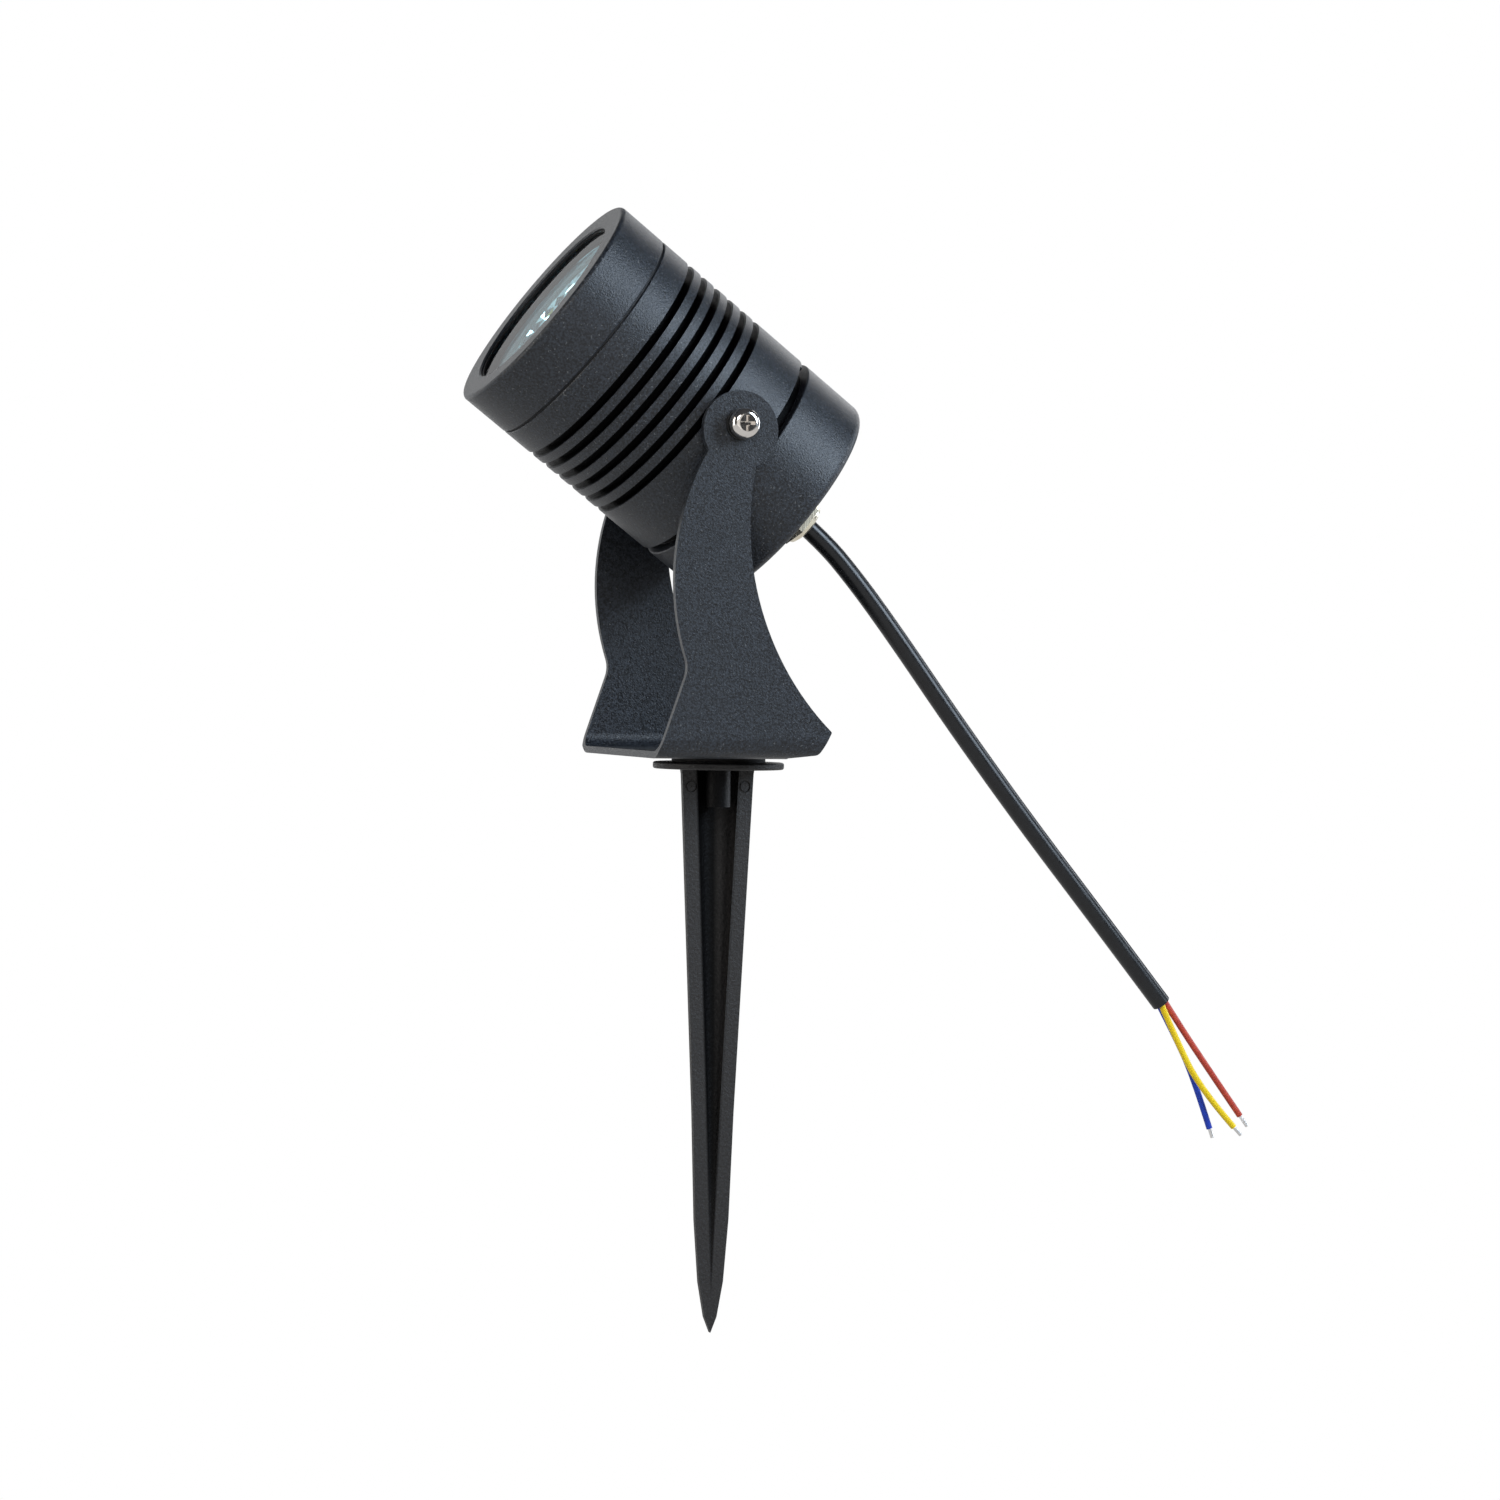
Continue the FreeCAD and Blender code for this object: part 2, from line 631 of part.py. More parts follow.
def stake_fasteners():
    pad = washer("stake_pad", "pad_ring_r", "stake_screw_r + pivot_fit", "yoke_clear - flange_t - run_gap")
    finish(pad, "stake_pad", FreeCAD.Placement(vector(0, 0, size("flange_t")), FreeCAD.Rotation()))
    level = "yoke_clear + yoke_t + run_gap"
    plain = washer("stake_washer", "stake_washer_r", "stake_screw_r + washer_gap", "stake_washer_t")
    finish(plain, "stake_washer", FreeCAD.Placement(vector(0, 0, size(level)), FreeCAD.Rotation()))
    level += " + stake_washer_t"
    split = split_washer("stake_spring_washer", "stake_spring_r", "stake_screw_r + washer_gap", "stake_spring_t")
    finish(split, "stake_spring_washer", FreeCAD.Placement(vector(0, 0, size(level)), FreeCAD.Rotation()))
    level += " + stake_spring_t"
    screw = pan_screw("stake_screw", "stake_screw_r", "stake_screw_length", "stake_head_r", "stake_head_t")
    finish(screw, "stake_screw", FreeCAD.Placement(vector(0, 0, size(level)), FreeCAD.Rotation()))


# Yoke: the outline of both arms, seen along Y, kept where a bent U-shaped sheet is, seen along X.
def arm_point(centre_x, centre_z, radius, height, side):
    """Formula for x on an arc at a height; side is + or - from the centre."""
    return f"{centre_x} {side} sqrt({radius}^2 - ({height} - {centre_z})^2)"


def is_cross_edge(edge, x, z):
    """Whether an edge runs along Y through a point of the outline."""
    box = edge.BoundBox
    straight = box.XLength < 1e-4 and box.ZLength < 1e-4
    return straight and abs(box.XMin - x) < 1e-4 and abs(box.ZMin - z) < 1e-4


def yoke_outline():
    body = add_body("yoke_outline_body")
    sketch = add_sketch(body, "yoke_arm_outline", "XZ_Plane")
    front_c = "(arm_front_r - arm_front_x)"
    rear_c = "(arm_rear_r - arm_rear_x)"
    ear_z = "(pivot_height - ear_drop)"
    front_join_z = f"{ear_z} - 0.527 * ear_r"
    rear_join_z = f"{ear_z} - 0.905 * ear_r"
    points = (
        ("-foot_front", "0"),
        ("-foot_front", "yoke_clear + yoke_t"),
        (arm_point(front_c, "arm_front_z", "arm_front_r", "arm_kink_z", "-"), "arm_kink_z"),
        ("-pivot_ahead - 0.85 * ear_r", front_join_z),
        ("-pivot_ahead + 0.425 * ear_r", rear_join_z),
        ("foot_tip_x", "foot_tip_z"),
        ("foot_corner_x", "foot_corner_z"),
        ("foot_rear", "yoke_clear + foot_land"),
        ("foot_rear", "0"),
    )
    places = [vector(size(x), size(z), 0) for x, z in points]
    front_mid_z = f"(arm_kink_z + {front_join_z}) / 2"
    rear_mid_z = f"(foot_tip_z + {rear_join_z}) / 2"
    front_mid = vector(size(arm_point(front_c, "arm_front_z", "arm_front_r", front_mid_z, "-")), size(front_mid_z), 0)
    rear_mid = vector(size(arm_point(rear_c, "arm_rear_z", "arm_rear_r", rear_mid_z, "-")), size(rear_mid_z), 0)
    ear_top = vector(-size("pivot_ahead"), size(f"{ear_z} + ear_r"), 0)
    # A sketch keeps its arcs anticlockwise, so the bowed edge and the ear run backwards along the outline.
    curves = (
        Part.LineSegment(places[0], places[1]),
        Part.LineSegment(places[1], places[2]),
        Part.Arc(places[3], front_mid, places[2]),
        Part.Arc(places[4], ear_top, places[3]),
        Part.Arc(places[4], rear_mid, places[5]),
        Part.LineSegment(places[5], places[6]),
        Part.LineSegment(places[6], places[7]),
        Part.LineSegment(places[7], places[8]),
        Part.LineSegment(places[8], places[0]),
    )
    for curve in curves:
        sketch.addGeometry(curve, False)
    count = len(curves)
    ends = []
    for index, curve in enumerate(sketch.Geometry):
        forward = (curve.StartPoint - places[index]).Length < 1e-4
        ends.append((1, 2) if forward else (2, 1))
    for index in range(count):
        after = (index + 1) % count
        sketch.addConstraint(Sketcher.Constraint("Coincident", index, ends[index][1], after, ends[after][0]))
    for index, (x, z) in enumerate(points):
        pin_point(sketch, index, ends[index][0], x, z, f"p{index}")
    for index, radius, label in ((2, "arm_front_r", "front"), (3, "ear_r", "ear"), (4, "arm_rear_r", "rear")):
        number = sketch.addConstraint(Sketcher.Constraint("Radius", index, size(radius)))
        sketch.renameConstraint(number, f"{label}_arc")
        bind(sketch, f"Constraints.{label}_arc", radius)
    add_circle(sketch, "tilt_screw_r + pivot_fit", "-pivot_ahead", "pivot_height", "pivot")
    add_pad(body, sketch, "yoke_width + 2", "yoke_outline_pad", both=True)
    doc.recompute()
    for name, place, radius in (("kink", 2, "arm_kink_r"), ("tip", 5, "foot_tip_r"), ("corner", 6, "foot_corner_r")):
        x, z = places[place].x, places[place].y
        corner = edges_where(body.Tip.Shape, lambda edge: is_cross_edge(edge, x, z))
        round_edges(body, f"yoke_{name}_round", corner, radius)
    return body


def yoke_block(name, half_width, floor, bend):
    """Block with two rounded lower edges: the yoke's outside or its inside."""
    body = add_body(name + "_body")
    sketch = add_sketch(body, name + "_section", "YZ_Plane")
    top = "pivot_height + ear_r + 2"
    add_polygon(
        sketch,
        ((f"-{half_width}", floor), (half_width, floor), (half_width, top), (f"-{half_width}", top)),
    )
    add_pad(body, sketch, "2 * (foot_front + foot_tip_x)", name + "_pad", both=True)
    doc.recompute()
    level = size(floor)
    lower = edges_where(
        body.Tip.Shape,
        lambda edge: abs(edge.BoundBox.ZMax - level) < 1e-4 and edge.BoundBox.XLength > 10,
    )
    round_edges(body, name + "_bends", lower, bend)
    return body


def yoke_bracket():
    outside = yoke_block("yoke_outside", "(yoke_width / 2)", "yoke_clear", "yoke_bend_r")
    inside = yoke_block(
        "yoke_inside", "(yoke_width / 2 - yoke_t)", "yoke_clear + yoke_t", "yoke_bend_r - yoke_t"
    )
    bent = doc.addObject("Part::Cut", "yoke_bent_sheet")
    bent.Base = outside
    bent.Tool = inside
    blank = doc.addObject("Part::Common", "yoke_trimmed_sheet")
    blank.Base = bent
    blank.Tool = yoke_outline()
    hole = doc.addObject("Part::Cylinder", "yoke_foot_hole")
    bind(hole, "Radius", "stake_screw_r + pivot_fit")
    bind(hole, "Height", "yoke_clear + yoke_t + 5")
    bracket = doc.addObject("Part::Cut", "yoke_bracket_cut")
    bracket.Base = blank
    bracket.Tool = hole
    finish(bracket, "yoke_bracket")


# Tilt pivots: screw, split washer and plain washer outside each arm, friction washer inside it.
def tilt_pivots():
    level = "yoke_width / 2 + run_gap"
    plain = washer("tilt_washers", "tilt_washer_r", "tilt_screw_r + washer_gap", "tilt_washer_t")
    plain.Placement = near_side(size(level))
    mirrored_pair("tilt_washers", plain)
    level += " + tilt_washer_t"
    split = split_washer("tilt_spring_washers", "tilt_spring_r", "tilt_screw_r + washer_gap", "tilt_spring_t")
    split.Placement = near_side(size(level))
    mirrored_pair("tilt_spring_washers", split)
    level += " + tilt_spring_t"
    screw = pan_screw("tilt_screws", "tilt_screw_r", "tilt_screw_length", "tilt_head_r", "tilt_head_t")
    screw.Placement = near_side(size(level))
    mirrored_pair("tilt_screws", screw)
    thickness = "yoke_width / 2 - yoke_t - run_gap - (head_r - spot_depth)"
    friction = washer("friction_washers", "friction_r", "tilt_screw_r + washer_gap", thickness)
    friction.Placement = near_side(size("head_r - spot_depth"))
    mirrored_pair("friction_washers", friction)


# Lamp head, from front to back.
def front_bezel():
    bore = "spigot_r + thread_gap"
    body = lamp_ring(
        "front_bezel",
        (
            ("head_r", "bezel_rear"),
            ("head_r", "bezel_front"),
            ("window_r + 0.4", "bezel_front"),
            ("window_r", "bezel_front - 0.4"),
            ("window_r", "bezel_front - lip_t"),
            ("lens_r + lens_gap", "bezel_front - lip_t"),
            ("lens_r + lens_gap", "spigot_end + 0.3"),
            (bore, "spigot_end + 0.3"),
            (bore, "bezel_rear"),
        ),
    )
    rim = circle_edges(body.Tip.Shape, size("head_r"), size("bezel_front"))
    round_edges(body, "front_bezel_round", rim, "edge_round")
    heel = circle_edges(body.Tip.Shape, size("head_r"), size("bezel_rear"))
    round_edges(body, "front_bezel_heel", heel, "edge_break", kind="PartDesign::Chamfer")
    finish(body, "front_bezel", HEAD_PLACE)


def glass_and_seals():
    lens = lamp_ring(
        "lens_glass",
        (("0", "lens_rear"), ("lens_r", "lens_rear"), ("lens_r", "lens_front"), ("0", "lens_front")),
    )
    finish(lens, "lens_glass", HEAD_PLACE)
    for name, outer, rear, front in (
        ("lens_gasket", "lens_r", "lens_front", "lens_front + gasket_t"),
        ("lens_seat_ring", "lens_r", "spigot_end", "lens_rear"),
        ("bezel_seal", "head_r - 0.6", "housing_front", "bezel_rear"),
    ):
        inner = "spigot_r + thread_gap" if name == "bezel_seal" else "gasket_inner_r"
        ring = lamp_ring(name, ((inner, rear), (outer, rear), (outer, front), (inner, front)))
        finish(ring, name, HEAD_PLACE)


def housing():
    body = lamp_ring(
        "housing",
        (
            ("head_r", "housing_rear"),
            ("head_r", "housing_front"),
            ("spigot_r", "housing_front"),
            ("spigot_r", "spigot_end - 0.5"),
            ("spigot_r - 0.5", "spigot_end"),
            ("cavity_r", "spigot_end"),
            ("cavity_r", "partition_front"),
            ("0", "partition_front"),
            ("0", "partition_rear"),
            ("cavity_r", "partition_rear"),
            ("cavity_r", "housing_rear + cap_bore_depth"),
            ("cap_bore_r", "housing_rear + cap_bore_depth"),
            ("cap_bore_r", "housing_rear"),
        ),
    )
    for station in ("housing_rear", "housing_front"):
        edge = circle_edges(body.Tip.Shape, size("head_r"), size(station))
        round_edges(body, f"{station}_edge", edge, "edge_break", kind="PartDesign::Chamfer")
    relief = add_sketch(body, "housing_relief_profile", "YZ_Plane")
    add_polygon(
        relief,
        (
            ("cap_neck_r", "housing_rear - 0.5"),
            ("head_r + 1", "housing_rear - 0.5"),
            ("head_r + 1", "housing_rear + relief_depth"),
            ("cap_neck_r", "housing_rear + relief_depth"),
        ),
    )
    step = body.newObject("PartDesign::Groove", "housing_relief")
    step.Profile = relief
    step.ReferenceAxis = (relief, ["V_Axis"])
    bind(step, "Angle", "relief_angle")
    step.Midplane = True
    body.Tip = step
    doc.recompute()
    twin = body.newObject("PartDesign::PolarPattern", "housing_relief_pair")
    twin.Originals = [step]
    twin.Axis = (origin_feature(body, "Z_Axis"), [""])
    twin.Angle = 360
    twin.Occurrences = 2
    body.Tip = twin
    doc.recompute()
    groove = add_sketch(body, "housing_fin_profile", "XZ_Plane")
    middle = "housing_rear + fin_first"
    add_polygon(
        groove,
        (
            ("head_r - fin_depth", f"{middle} - fin_groove / 2"),
            ("head_r + 1", f"{middle} - fin_groove / 2"),
            ("head_r + 1", f"{middle} + fin_groove / 2"),
            ("head_r - fin_depth", f"{middle} + fin_groove / 2"),
        ),
    )
    cut = body.newObject("PartDesign::Groove", "housing_fin_groove")
    cut.Profile = groove
    cut.ReferenceAxis = (groove, ["V_Axis"])
    cut.Angle = 360
    body.Tip = cut
    doc.recompute()
    row = body.newObject("PartDesign::LinearPattern", "housing_fin_grooves")
    row.Originals = [cut]
    row.Direction = (origin_feature(body, "Z_Axis"), [""])
    bind(row, "Length", "(fin_count - 1) * fin_pitch")
    bind(row, "Occurrences", "fin_count")
    body.Tip = row
    doc.recompute()
    for name, radius, depth in (
        ("spot", "spot_r", "spot_depth"),
        ("thread", "tilt_screw_r + screw_gap", "tilt_hole_depth"),
    ):
        for side, flip in (("near", "head_r"), ("far", "-head_r")):
            sketch = add_sketch(body, f"housing_{name}_{side}_ring", "XZ_Plane", flip)
            add_circle(sketch, radius, "0", "pivot_at")
            add_pocket(body, sketch, depth, f"housing_{name}_{side}", reverse=side == "far")
    holes = add_sketch(body, "housing_board_holes", "XY_Plane", "partition_front")
    add_screw_holes(holes, "board_screw_r + screw_gap")
    add_circle(holes, "wire_hole_r", "0", "wire_hole_y", "wires")
    add_pocket(body, holes, "partition_t", "housing_board_drill")
    finish(body, "housing", HEAD_PLACE)


def add_screw_holes(sketch, radius):
    """Holes for the light source's two screws."""
    for side, label in (("-", "near"), ("", "far")):
        add_circle(sketch, radius, side + "(board_screw_circle)", "0", f"{label}_hole")


def drilled_disc(name, thickness, hole_r):
    body = add_body(name + "_body")
    sketch = add_sketch(body, name + "_ring", "XY_Plane")
    add_circle(sketch, "led_board_r", label="rim")
    add_screw_holes(sketch, hole_r)
    add_pad(body, sketch, thickness, name + "_disc")
    return body


def lamp_point(across, up, station):
    """Place of a point given across, up from and along the lamp's axis."""
    return HEAD_PLACE.multVec(vector(size(across), size(up), size(station)))


def wire_group(label, routes, diameter):
    wires = []
    for index, route in enumerate(routes):
        feature = doc.addObject("Part::Feature", f"{label}_{index}")
        feature.Shape = pipe_solid([lamp_point(*place) for place in route], diameter)[0]
        wires.append(feature)
    group = doc.addObject("Part::Compound", label + "_group")
    group.Links = wires
    finish(group, label)


def light_source():
    inside = []
    for outward, along in REFLECTOR_OUTLINE:
        mouth = "cavity_r - reflector_clear - reflector_t"
        radius = f"reflector_foot_r + {outward} * ({mouth} - reflector_foot_r)"
        station = f"board_front + reflector_gap + {along} * (spigot_end - board_front - reflector_gap)"
        inside.append((radius, station))
    outside = [(f"{radius} + reflector_t", station) for radius, station in reversed(inside)]
    finish(lamp_ring("reflector", inside + outside), "reflector", HEAD_PLACE)
    board = drilled_disc("led_board", "led_board_t", "board_screw_r + 0.1")
    finish(board, "led_board", head_place("board_rear"))
    pad = drilled_disc("thermal_pad", "pad_t", "board_screw_r + 0.3")
    finish(pad, "thermal_pad", head_place("partition_front"))
    emitter = add_body("led_emitter_body")
    disc = add_sketch(emitter, "led_emitter_ring", "XY_Plane")
    add_circle(disc, "emitter_r")
    add_pad(emitter, disc, "emitter_t", "led_emitter_disc")
    finish(emitter, "led_emitter", head_place("board_front"))
    screws = []
    length = "led_board_t + pad_t + board_screw_grip"
    for side, label in ((-1, "near"), (1, "far")):
        screw = pan_screw(
            f"led_screw_{label}", "board_screw_r", length, "board_screw_head_r", "board_screw_head_t"
        )
        beside = FreeCAD.Placement(vector(side * size("board_screw_circle"), 0, 0), FreeCAD.Rotation())
        screw.Placement = head_place("board_front").multiply(beside)
        screws.append(screw)
    group = doc.addObject("Part::Compound", "led_screw_pair")
    group.Links = screws
    finish(group, "led_board_screws")
    behind = "case_front - driver_case_t - wire_d - 0.4"
    routes = []
    for side in ("-", ""):
        across = f"{side}0.75 * wire_d"
        routes.append(
            (
                (across, "wire_d / 2 - driver_board_drop", behind),
                (across, "wire_hole_y", behind),
                (across, "wire_hole_y + 0.2", "case_front + wire_d"),
                (across, "wire_hole_y", "board_front + 2.4 * wire_d"),
                (across, "led_board_r - 1.5", "board_front + 1.6 * wire_d"),
                (across, "led_board_r - 3", "board_front + 0.55 * wire_d"),
            )
        )
    wire_group("led_wires", routes, size("wire_d"))


def board_item(kind, name, width, depth, length, across, along):
    """Box or cylinder that stands on the driver board."""
    item = doc.addObject(kind, name)
    if kind == "Part::Box":
        bind(item, "Length", width)
        bind(item, "Width", depth)
        corner = vector(size(f"{across} - {width} / 2"), -size("driver_board_drop"), size(f"driver_start + {along}"))
    else:
        bind(item, "Radius", f"{depth} / 2")
        corner = vector(size(across), size(f"{depth} / 2 - driver_board_drop"), size(f"driver_start + {along}"))
    bind(item, "Height", length)
    item.Placement = HEAD_PLACE.multiply(FreeCAD.Placement(corner, FreeCAD.Rotation()))
    return item


def driver():
    case = lamp_ring(
        "driver_case",
        (
            ("case_inner_r", "driver_start - 1"),
            ("case_outer_r", "driver_start - 1"),
            ("case_outer_r", "case_front"),
            ("0", "case_front"),
            ("0", "case_front - driver_case_t"),
            ("case_inner_r", "case_front - driver_case_t"),
        ),
    )
    outlet = add_sketch(case, "driver_case_outlet_ring", "XY_Plane", "case_front")
    add_circle(outlet, "wire_hole_r", "0", "wire_hole_y", "wires")
    add_pocket(case, outlet, "driver_case_t + 0.1", "driver_case_outlet")
    finish(case, "driver_case", HEAD_PLACE)
    board = doc.addObject("Part::Box", "driver_board_box")
    bind(board, "Length", "driver_board_width")
    bind(board, "Width", "driver_board_t")
    bind(board, "Height", "driver_board_length")
    corner = lamp_point("-driver_board_width / 2", "-driver_board_drop - driver_board_t", "driver_start")
    finish(board, "driver_board", FreeCAD.Placement(corner, HEAD_TURN))
    transformer = board_item(
        "Part::Box",
        "driver_transformer_box",
        "transformer_width",
        "transformer_height",
        "transformer_width",
        "-transformer_side",
        "transformer_start",
    )
    finish(transformer, "driver_transformer")
    capacitor = board_item(
        "Part::Cylinder",
        "driver_capacitor_can",
        "2 * capacitor_r",
        "2 * capacitor_r",
        "capacitor_length",
        "capacitor_side",
        "capacitor_start",
    )
    finish(capacitor, "driver_capacitor")
    chips = []
    for index, (across, along, width, length) in enumerate(CHIPS):
        name = f"driver_chip_{index}"
        chips.append(board_item("Part::Box", name, str(width), "chip_t", str(length), str(across), str(along)))
    group = doc.addObject("Part::Compound", "driver_chip_group")
    group.Links = chips
    finish(group, "driver_chips")
    routes = []
    for side in (-1, 0, 1):
        in_lead = (f"{side} * 0.45 * core_d", f"{0.45 if side else -0.5} * core_d")
        on_board = (f"{side} * 2 * core_d", "core_d / 2 - driver_board_drop")
        routes.append(
            (
                (*in_lead, "1.3"),
                (*in_lead, "driver_start - 4"),
                (*on_board, "driver_start + 0.5"),
                (*on_board, "driver_start + 3"),
            )
        )
    wire_group("supply_wires", routes, size("0.9 * core_d"))


def rear_cap():
    spigot = "cap_bore_r - thread_gap"
    end = "housing_rear + cap_bore_depth - 0.5"
    body = lamp_ring(
        "rear_cap",
        (
            ("gland_thread_r + 0.1", "0"),
            ("head_r", "0"),
            ("head_r", "cap_length"),
            ("cap_neck_r", "cap_length"),
            ("cap_neck_r", "housing_rear"),
            (spigot, "housing_rear"),
            (spigot, "housing_rear + 1.5"),
            (f"{spigot} - oring_groove", "housing_rear + 1.5"),
            (f"{spigot} - oring_groove", "housing_rear + 3.5"),
            (spigot, "housing_rear + 3.5"),
            (spigot, end),
            ("cavity_r", end),
            ("cavity_r", "cap_length - 2"),
            ("head_r - cap_wall", "cap_length - 2 - (head_r - cap_wall - cavity_r)"),
            ("head_r - cap_wall", "cap_wall"),
            ("gland_thread_r + 0.1", "cap_wall"),
        ),
    )
    rim = circle_edges(body.Tip.Shape, size("head_r"), 0)
    round_edges(body, "rear_cap_round", rim, "rear_round")
    front = circle_edges(body.Tip.Shape, size("head_r"), size("cap_length"))
    round_edges(body, "rear_cap_front_edge", front, "edge_break", kind="PartDesign::Chamfer")
    finish(body, "rear_cap", HEAD_PLACE)
    ring = doc.addObject("Part::Torus", "rear_cap_oring_torus")
    bind(ring, "Radius1", f"{spigot} - oring_groove + oring_section_r + 0.02")
    bind(ring, "Radius2", "oring_section_r")
    finish(ring, "rear_cap_oring", head_place("housing_rear + 2.5"))


def cable_gland():
    base = "gland_gasket_t"
    hexagon_end = "gland_gasket_t + gland_hex_t"
    nut_start = f"{hexagon_end} + gland_open_t"
    nut_end = f"{nut_start} + gland_nut_length"
    # These pieces point backwards, so their own +Z is the lamp's rear direction.
    back = HEAD_TURN.multiply(FreeCAD.Rotation(vector(1, 0, 0), 180))

    def rear_place(distance):
        return FreeCAD.Placement(HEAD_PLACE.Base - LAMP_AXIS * size(distance), back)

    gasket = washer("gland_gasket", "gland_af / 2 + 0.6", "gland_thread_r + gland_thread_gap", "gland_gasket_t")
    finish(gasket, "gland_gasket", rear_place("0"))
    body = add_body("gland_body_body")
    sketch = add_sketch(body, "gland_body_hexagon", "XY_Plane")
    add_hexagon(sketch, "gland_af")
    add_pad(body, sketch, "gland_hex_t", "gland_body_hex")
    barrel = add_sketch(body, "gland_body_barrel_ring", "XY_Plane", f"-({base} + cap_wall + locknut_t + 0.5)")
    add_circle(barrel, "gland_thread_r")
    length = f"{base} + cap_wall + locknut_t + 0.5 + gland_hex_t + gland_open_t + 0.6 * gland_nut_length"
    add_pad(body, barrel, length, "gland_body_barrel")
    doc.recompute()
    bore = add_sketch(body, "gland_body_bore_ring", "XY_Plane", f"-({base} + cap_wall + locknut_t + 0.5)")
    add_circle(bore, "gland_bore_r")
    add_pocket(body, bore, f"{length} - gland_seal_depth", "gland_body_bore", reverse=True)
    seat = add_sketch(body, "gland_body_seat_ring", "XY_Plane", f"{length} - ({base} + cap_wall + locknut_t + 0.5)")
    add_circle(seat, "gland_thread_r - 1.1")
    add_pocket(body, seat, "gland_seal_depth", "gland_body_seat")
    finish(body, "gland_body", rear_place(base))
    seal = washer("gland_seal", "gland_thread_r - 1.15", "lead_d / 2 + 0.03", "gland_seal_depth - 0.1")
    seal_start = f"{hexagon_end} + gland_open_t + 0.6 * gland_nut_length - gland_seal_depth + 0.05"
    finish(seal, "gland_seal", rear_place(seal_start))
    nut = add_body("gland_nut_body")
    sketch = add_sketch(nut, "gland_nut_hexagon", "XY_Plane")
    add_hexagon(sketch, "gland_af")
    add_pad(nut, sketch, "0.62 * gland_nut_length", "gland_nut_hex")
    doc.recompute()
    dome = (
        ("0", "0.62 * gland_nut_length"),
        ("gland_af / 2 - 0.1", "0.62 * gland_nut_length"),
        ("gland_af / 2 - 0.6", "0.86 * gland_nut_length"),
        ("gland_af / 2 - 2.0", "gland_nut_length"),
        ("0", "gland_nut_length"),
    )
    add_revolution(nut, "gland_nut_dome", dome)
    doc.recompute()
    thread = add_sketch(nut, "gland_nut_thread_ring", "XY_Plane")
    add_circle(thread, "gland_thread_r + gland_thread_gap")
    add_pocket(nut, thread, "0.62 * gland_nut_length", "gland_nut_thread", reverse=True)
    mouth = add_sketch(nut, "gland_nut_mouth_ring", "XY_Plane")
    add_circle(mouth, "gland_bore_r + 0.1")
    add_pocket(nut, mouth, "gland_nut_length + 1", "gland_nut_mouth", reverse=True)
    finish(nut, "gland_nut", rear_place(nut_start))
    lock = add_body("gland_locknut_body")
    sketch = add_sketch(lock, "gland_locknut_hexagon", "XY_Plane")
    add_hexagon(sketch, "locknut_af")
    add_circle(sketch, "gland_thread_r + gland_thread_gap")
    add_pad(lock, sketch, "locknut_t", "gland_locknut_hex")
    finish(lock, "gland_locknut", head_place("cap_wall"))
    print(f"gland ends {size(nut_end):.2f} behind the cap")


def mains_lead():
    diameter = size("lead_d")
    route = [vector(x, 0, z) for x, z in LEAD_ROUTE]
    cord("lead_sheath", route, diameter)
    conductors = []
    for label, places in CORE_ROUTES.items():
        points = [vector(*place) for place in places]
        cord(label, points, size("core_d"))
        ahead = (points[-1] - points[-2]).normalize()
        wire = doc.addObject("Part::Cylinder", label + "_bare_end")
        bind(wire, "Radius", "conductor_d / 2")
        wire.Height = CONDUCTOR_BARE[label]
        wire.Placement = FreeCAD.Placement(points[-1], FreeCAD.Rotation(vector(0, 0, 1), ahead))
        conductors.append(wire)
    group = doc.addObject("Part::Compound", "conductor_group")
    group.Links = conductors
    finish(group, "conductor_ends")


def check_and_write():
    doc.recompute()
    for thing in doc.Objects:
        if {"Invalid", "Error"} & set(thing.State):
            raise RuntimeError(f"{thing.Name} is {thing.State}")
    os.makedirs("parts", exist_ok=True)
    for thing in PARTS:
        shape = thing.Shape
        if shape.isNull() or not shape.isValid() or not shape.Solids:
            raise RuntimeError(f"{thing.Label} has no valid shape")
        shape.exportStep(f"parts/{thing.Label}.step")
        print(f"{thing.Label}: {len(shape.Solids)} solid(s), {shape.Volume:.0f} mm3")


ground_spike()
stake_fasteners()
yoke_bracket()
tilt_pivots()
front_bezel()
glass_and_seals()
housing()
light_source()
driver()
rear_cap()
cable_gland()
mains_lead()
check_and_write()
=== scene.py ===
import json
import math
import random

import bmesh
import bpy
from mathutils import Matrix, Vector


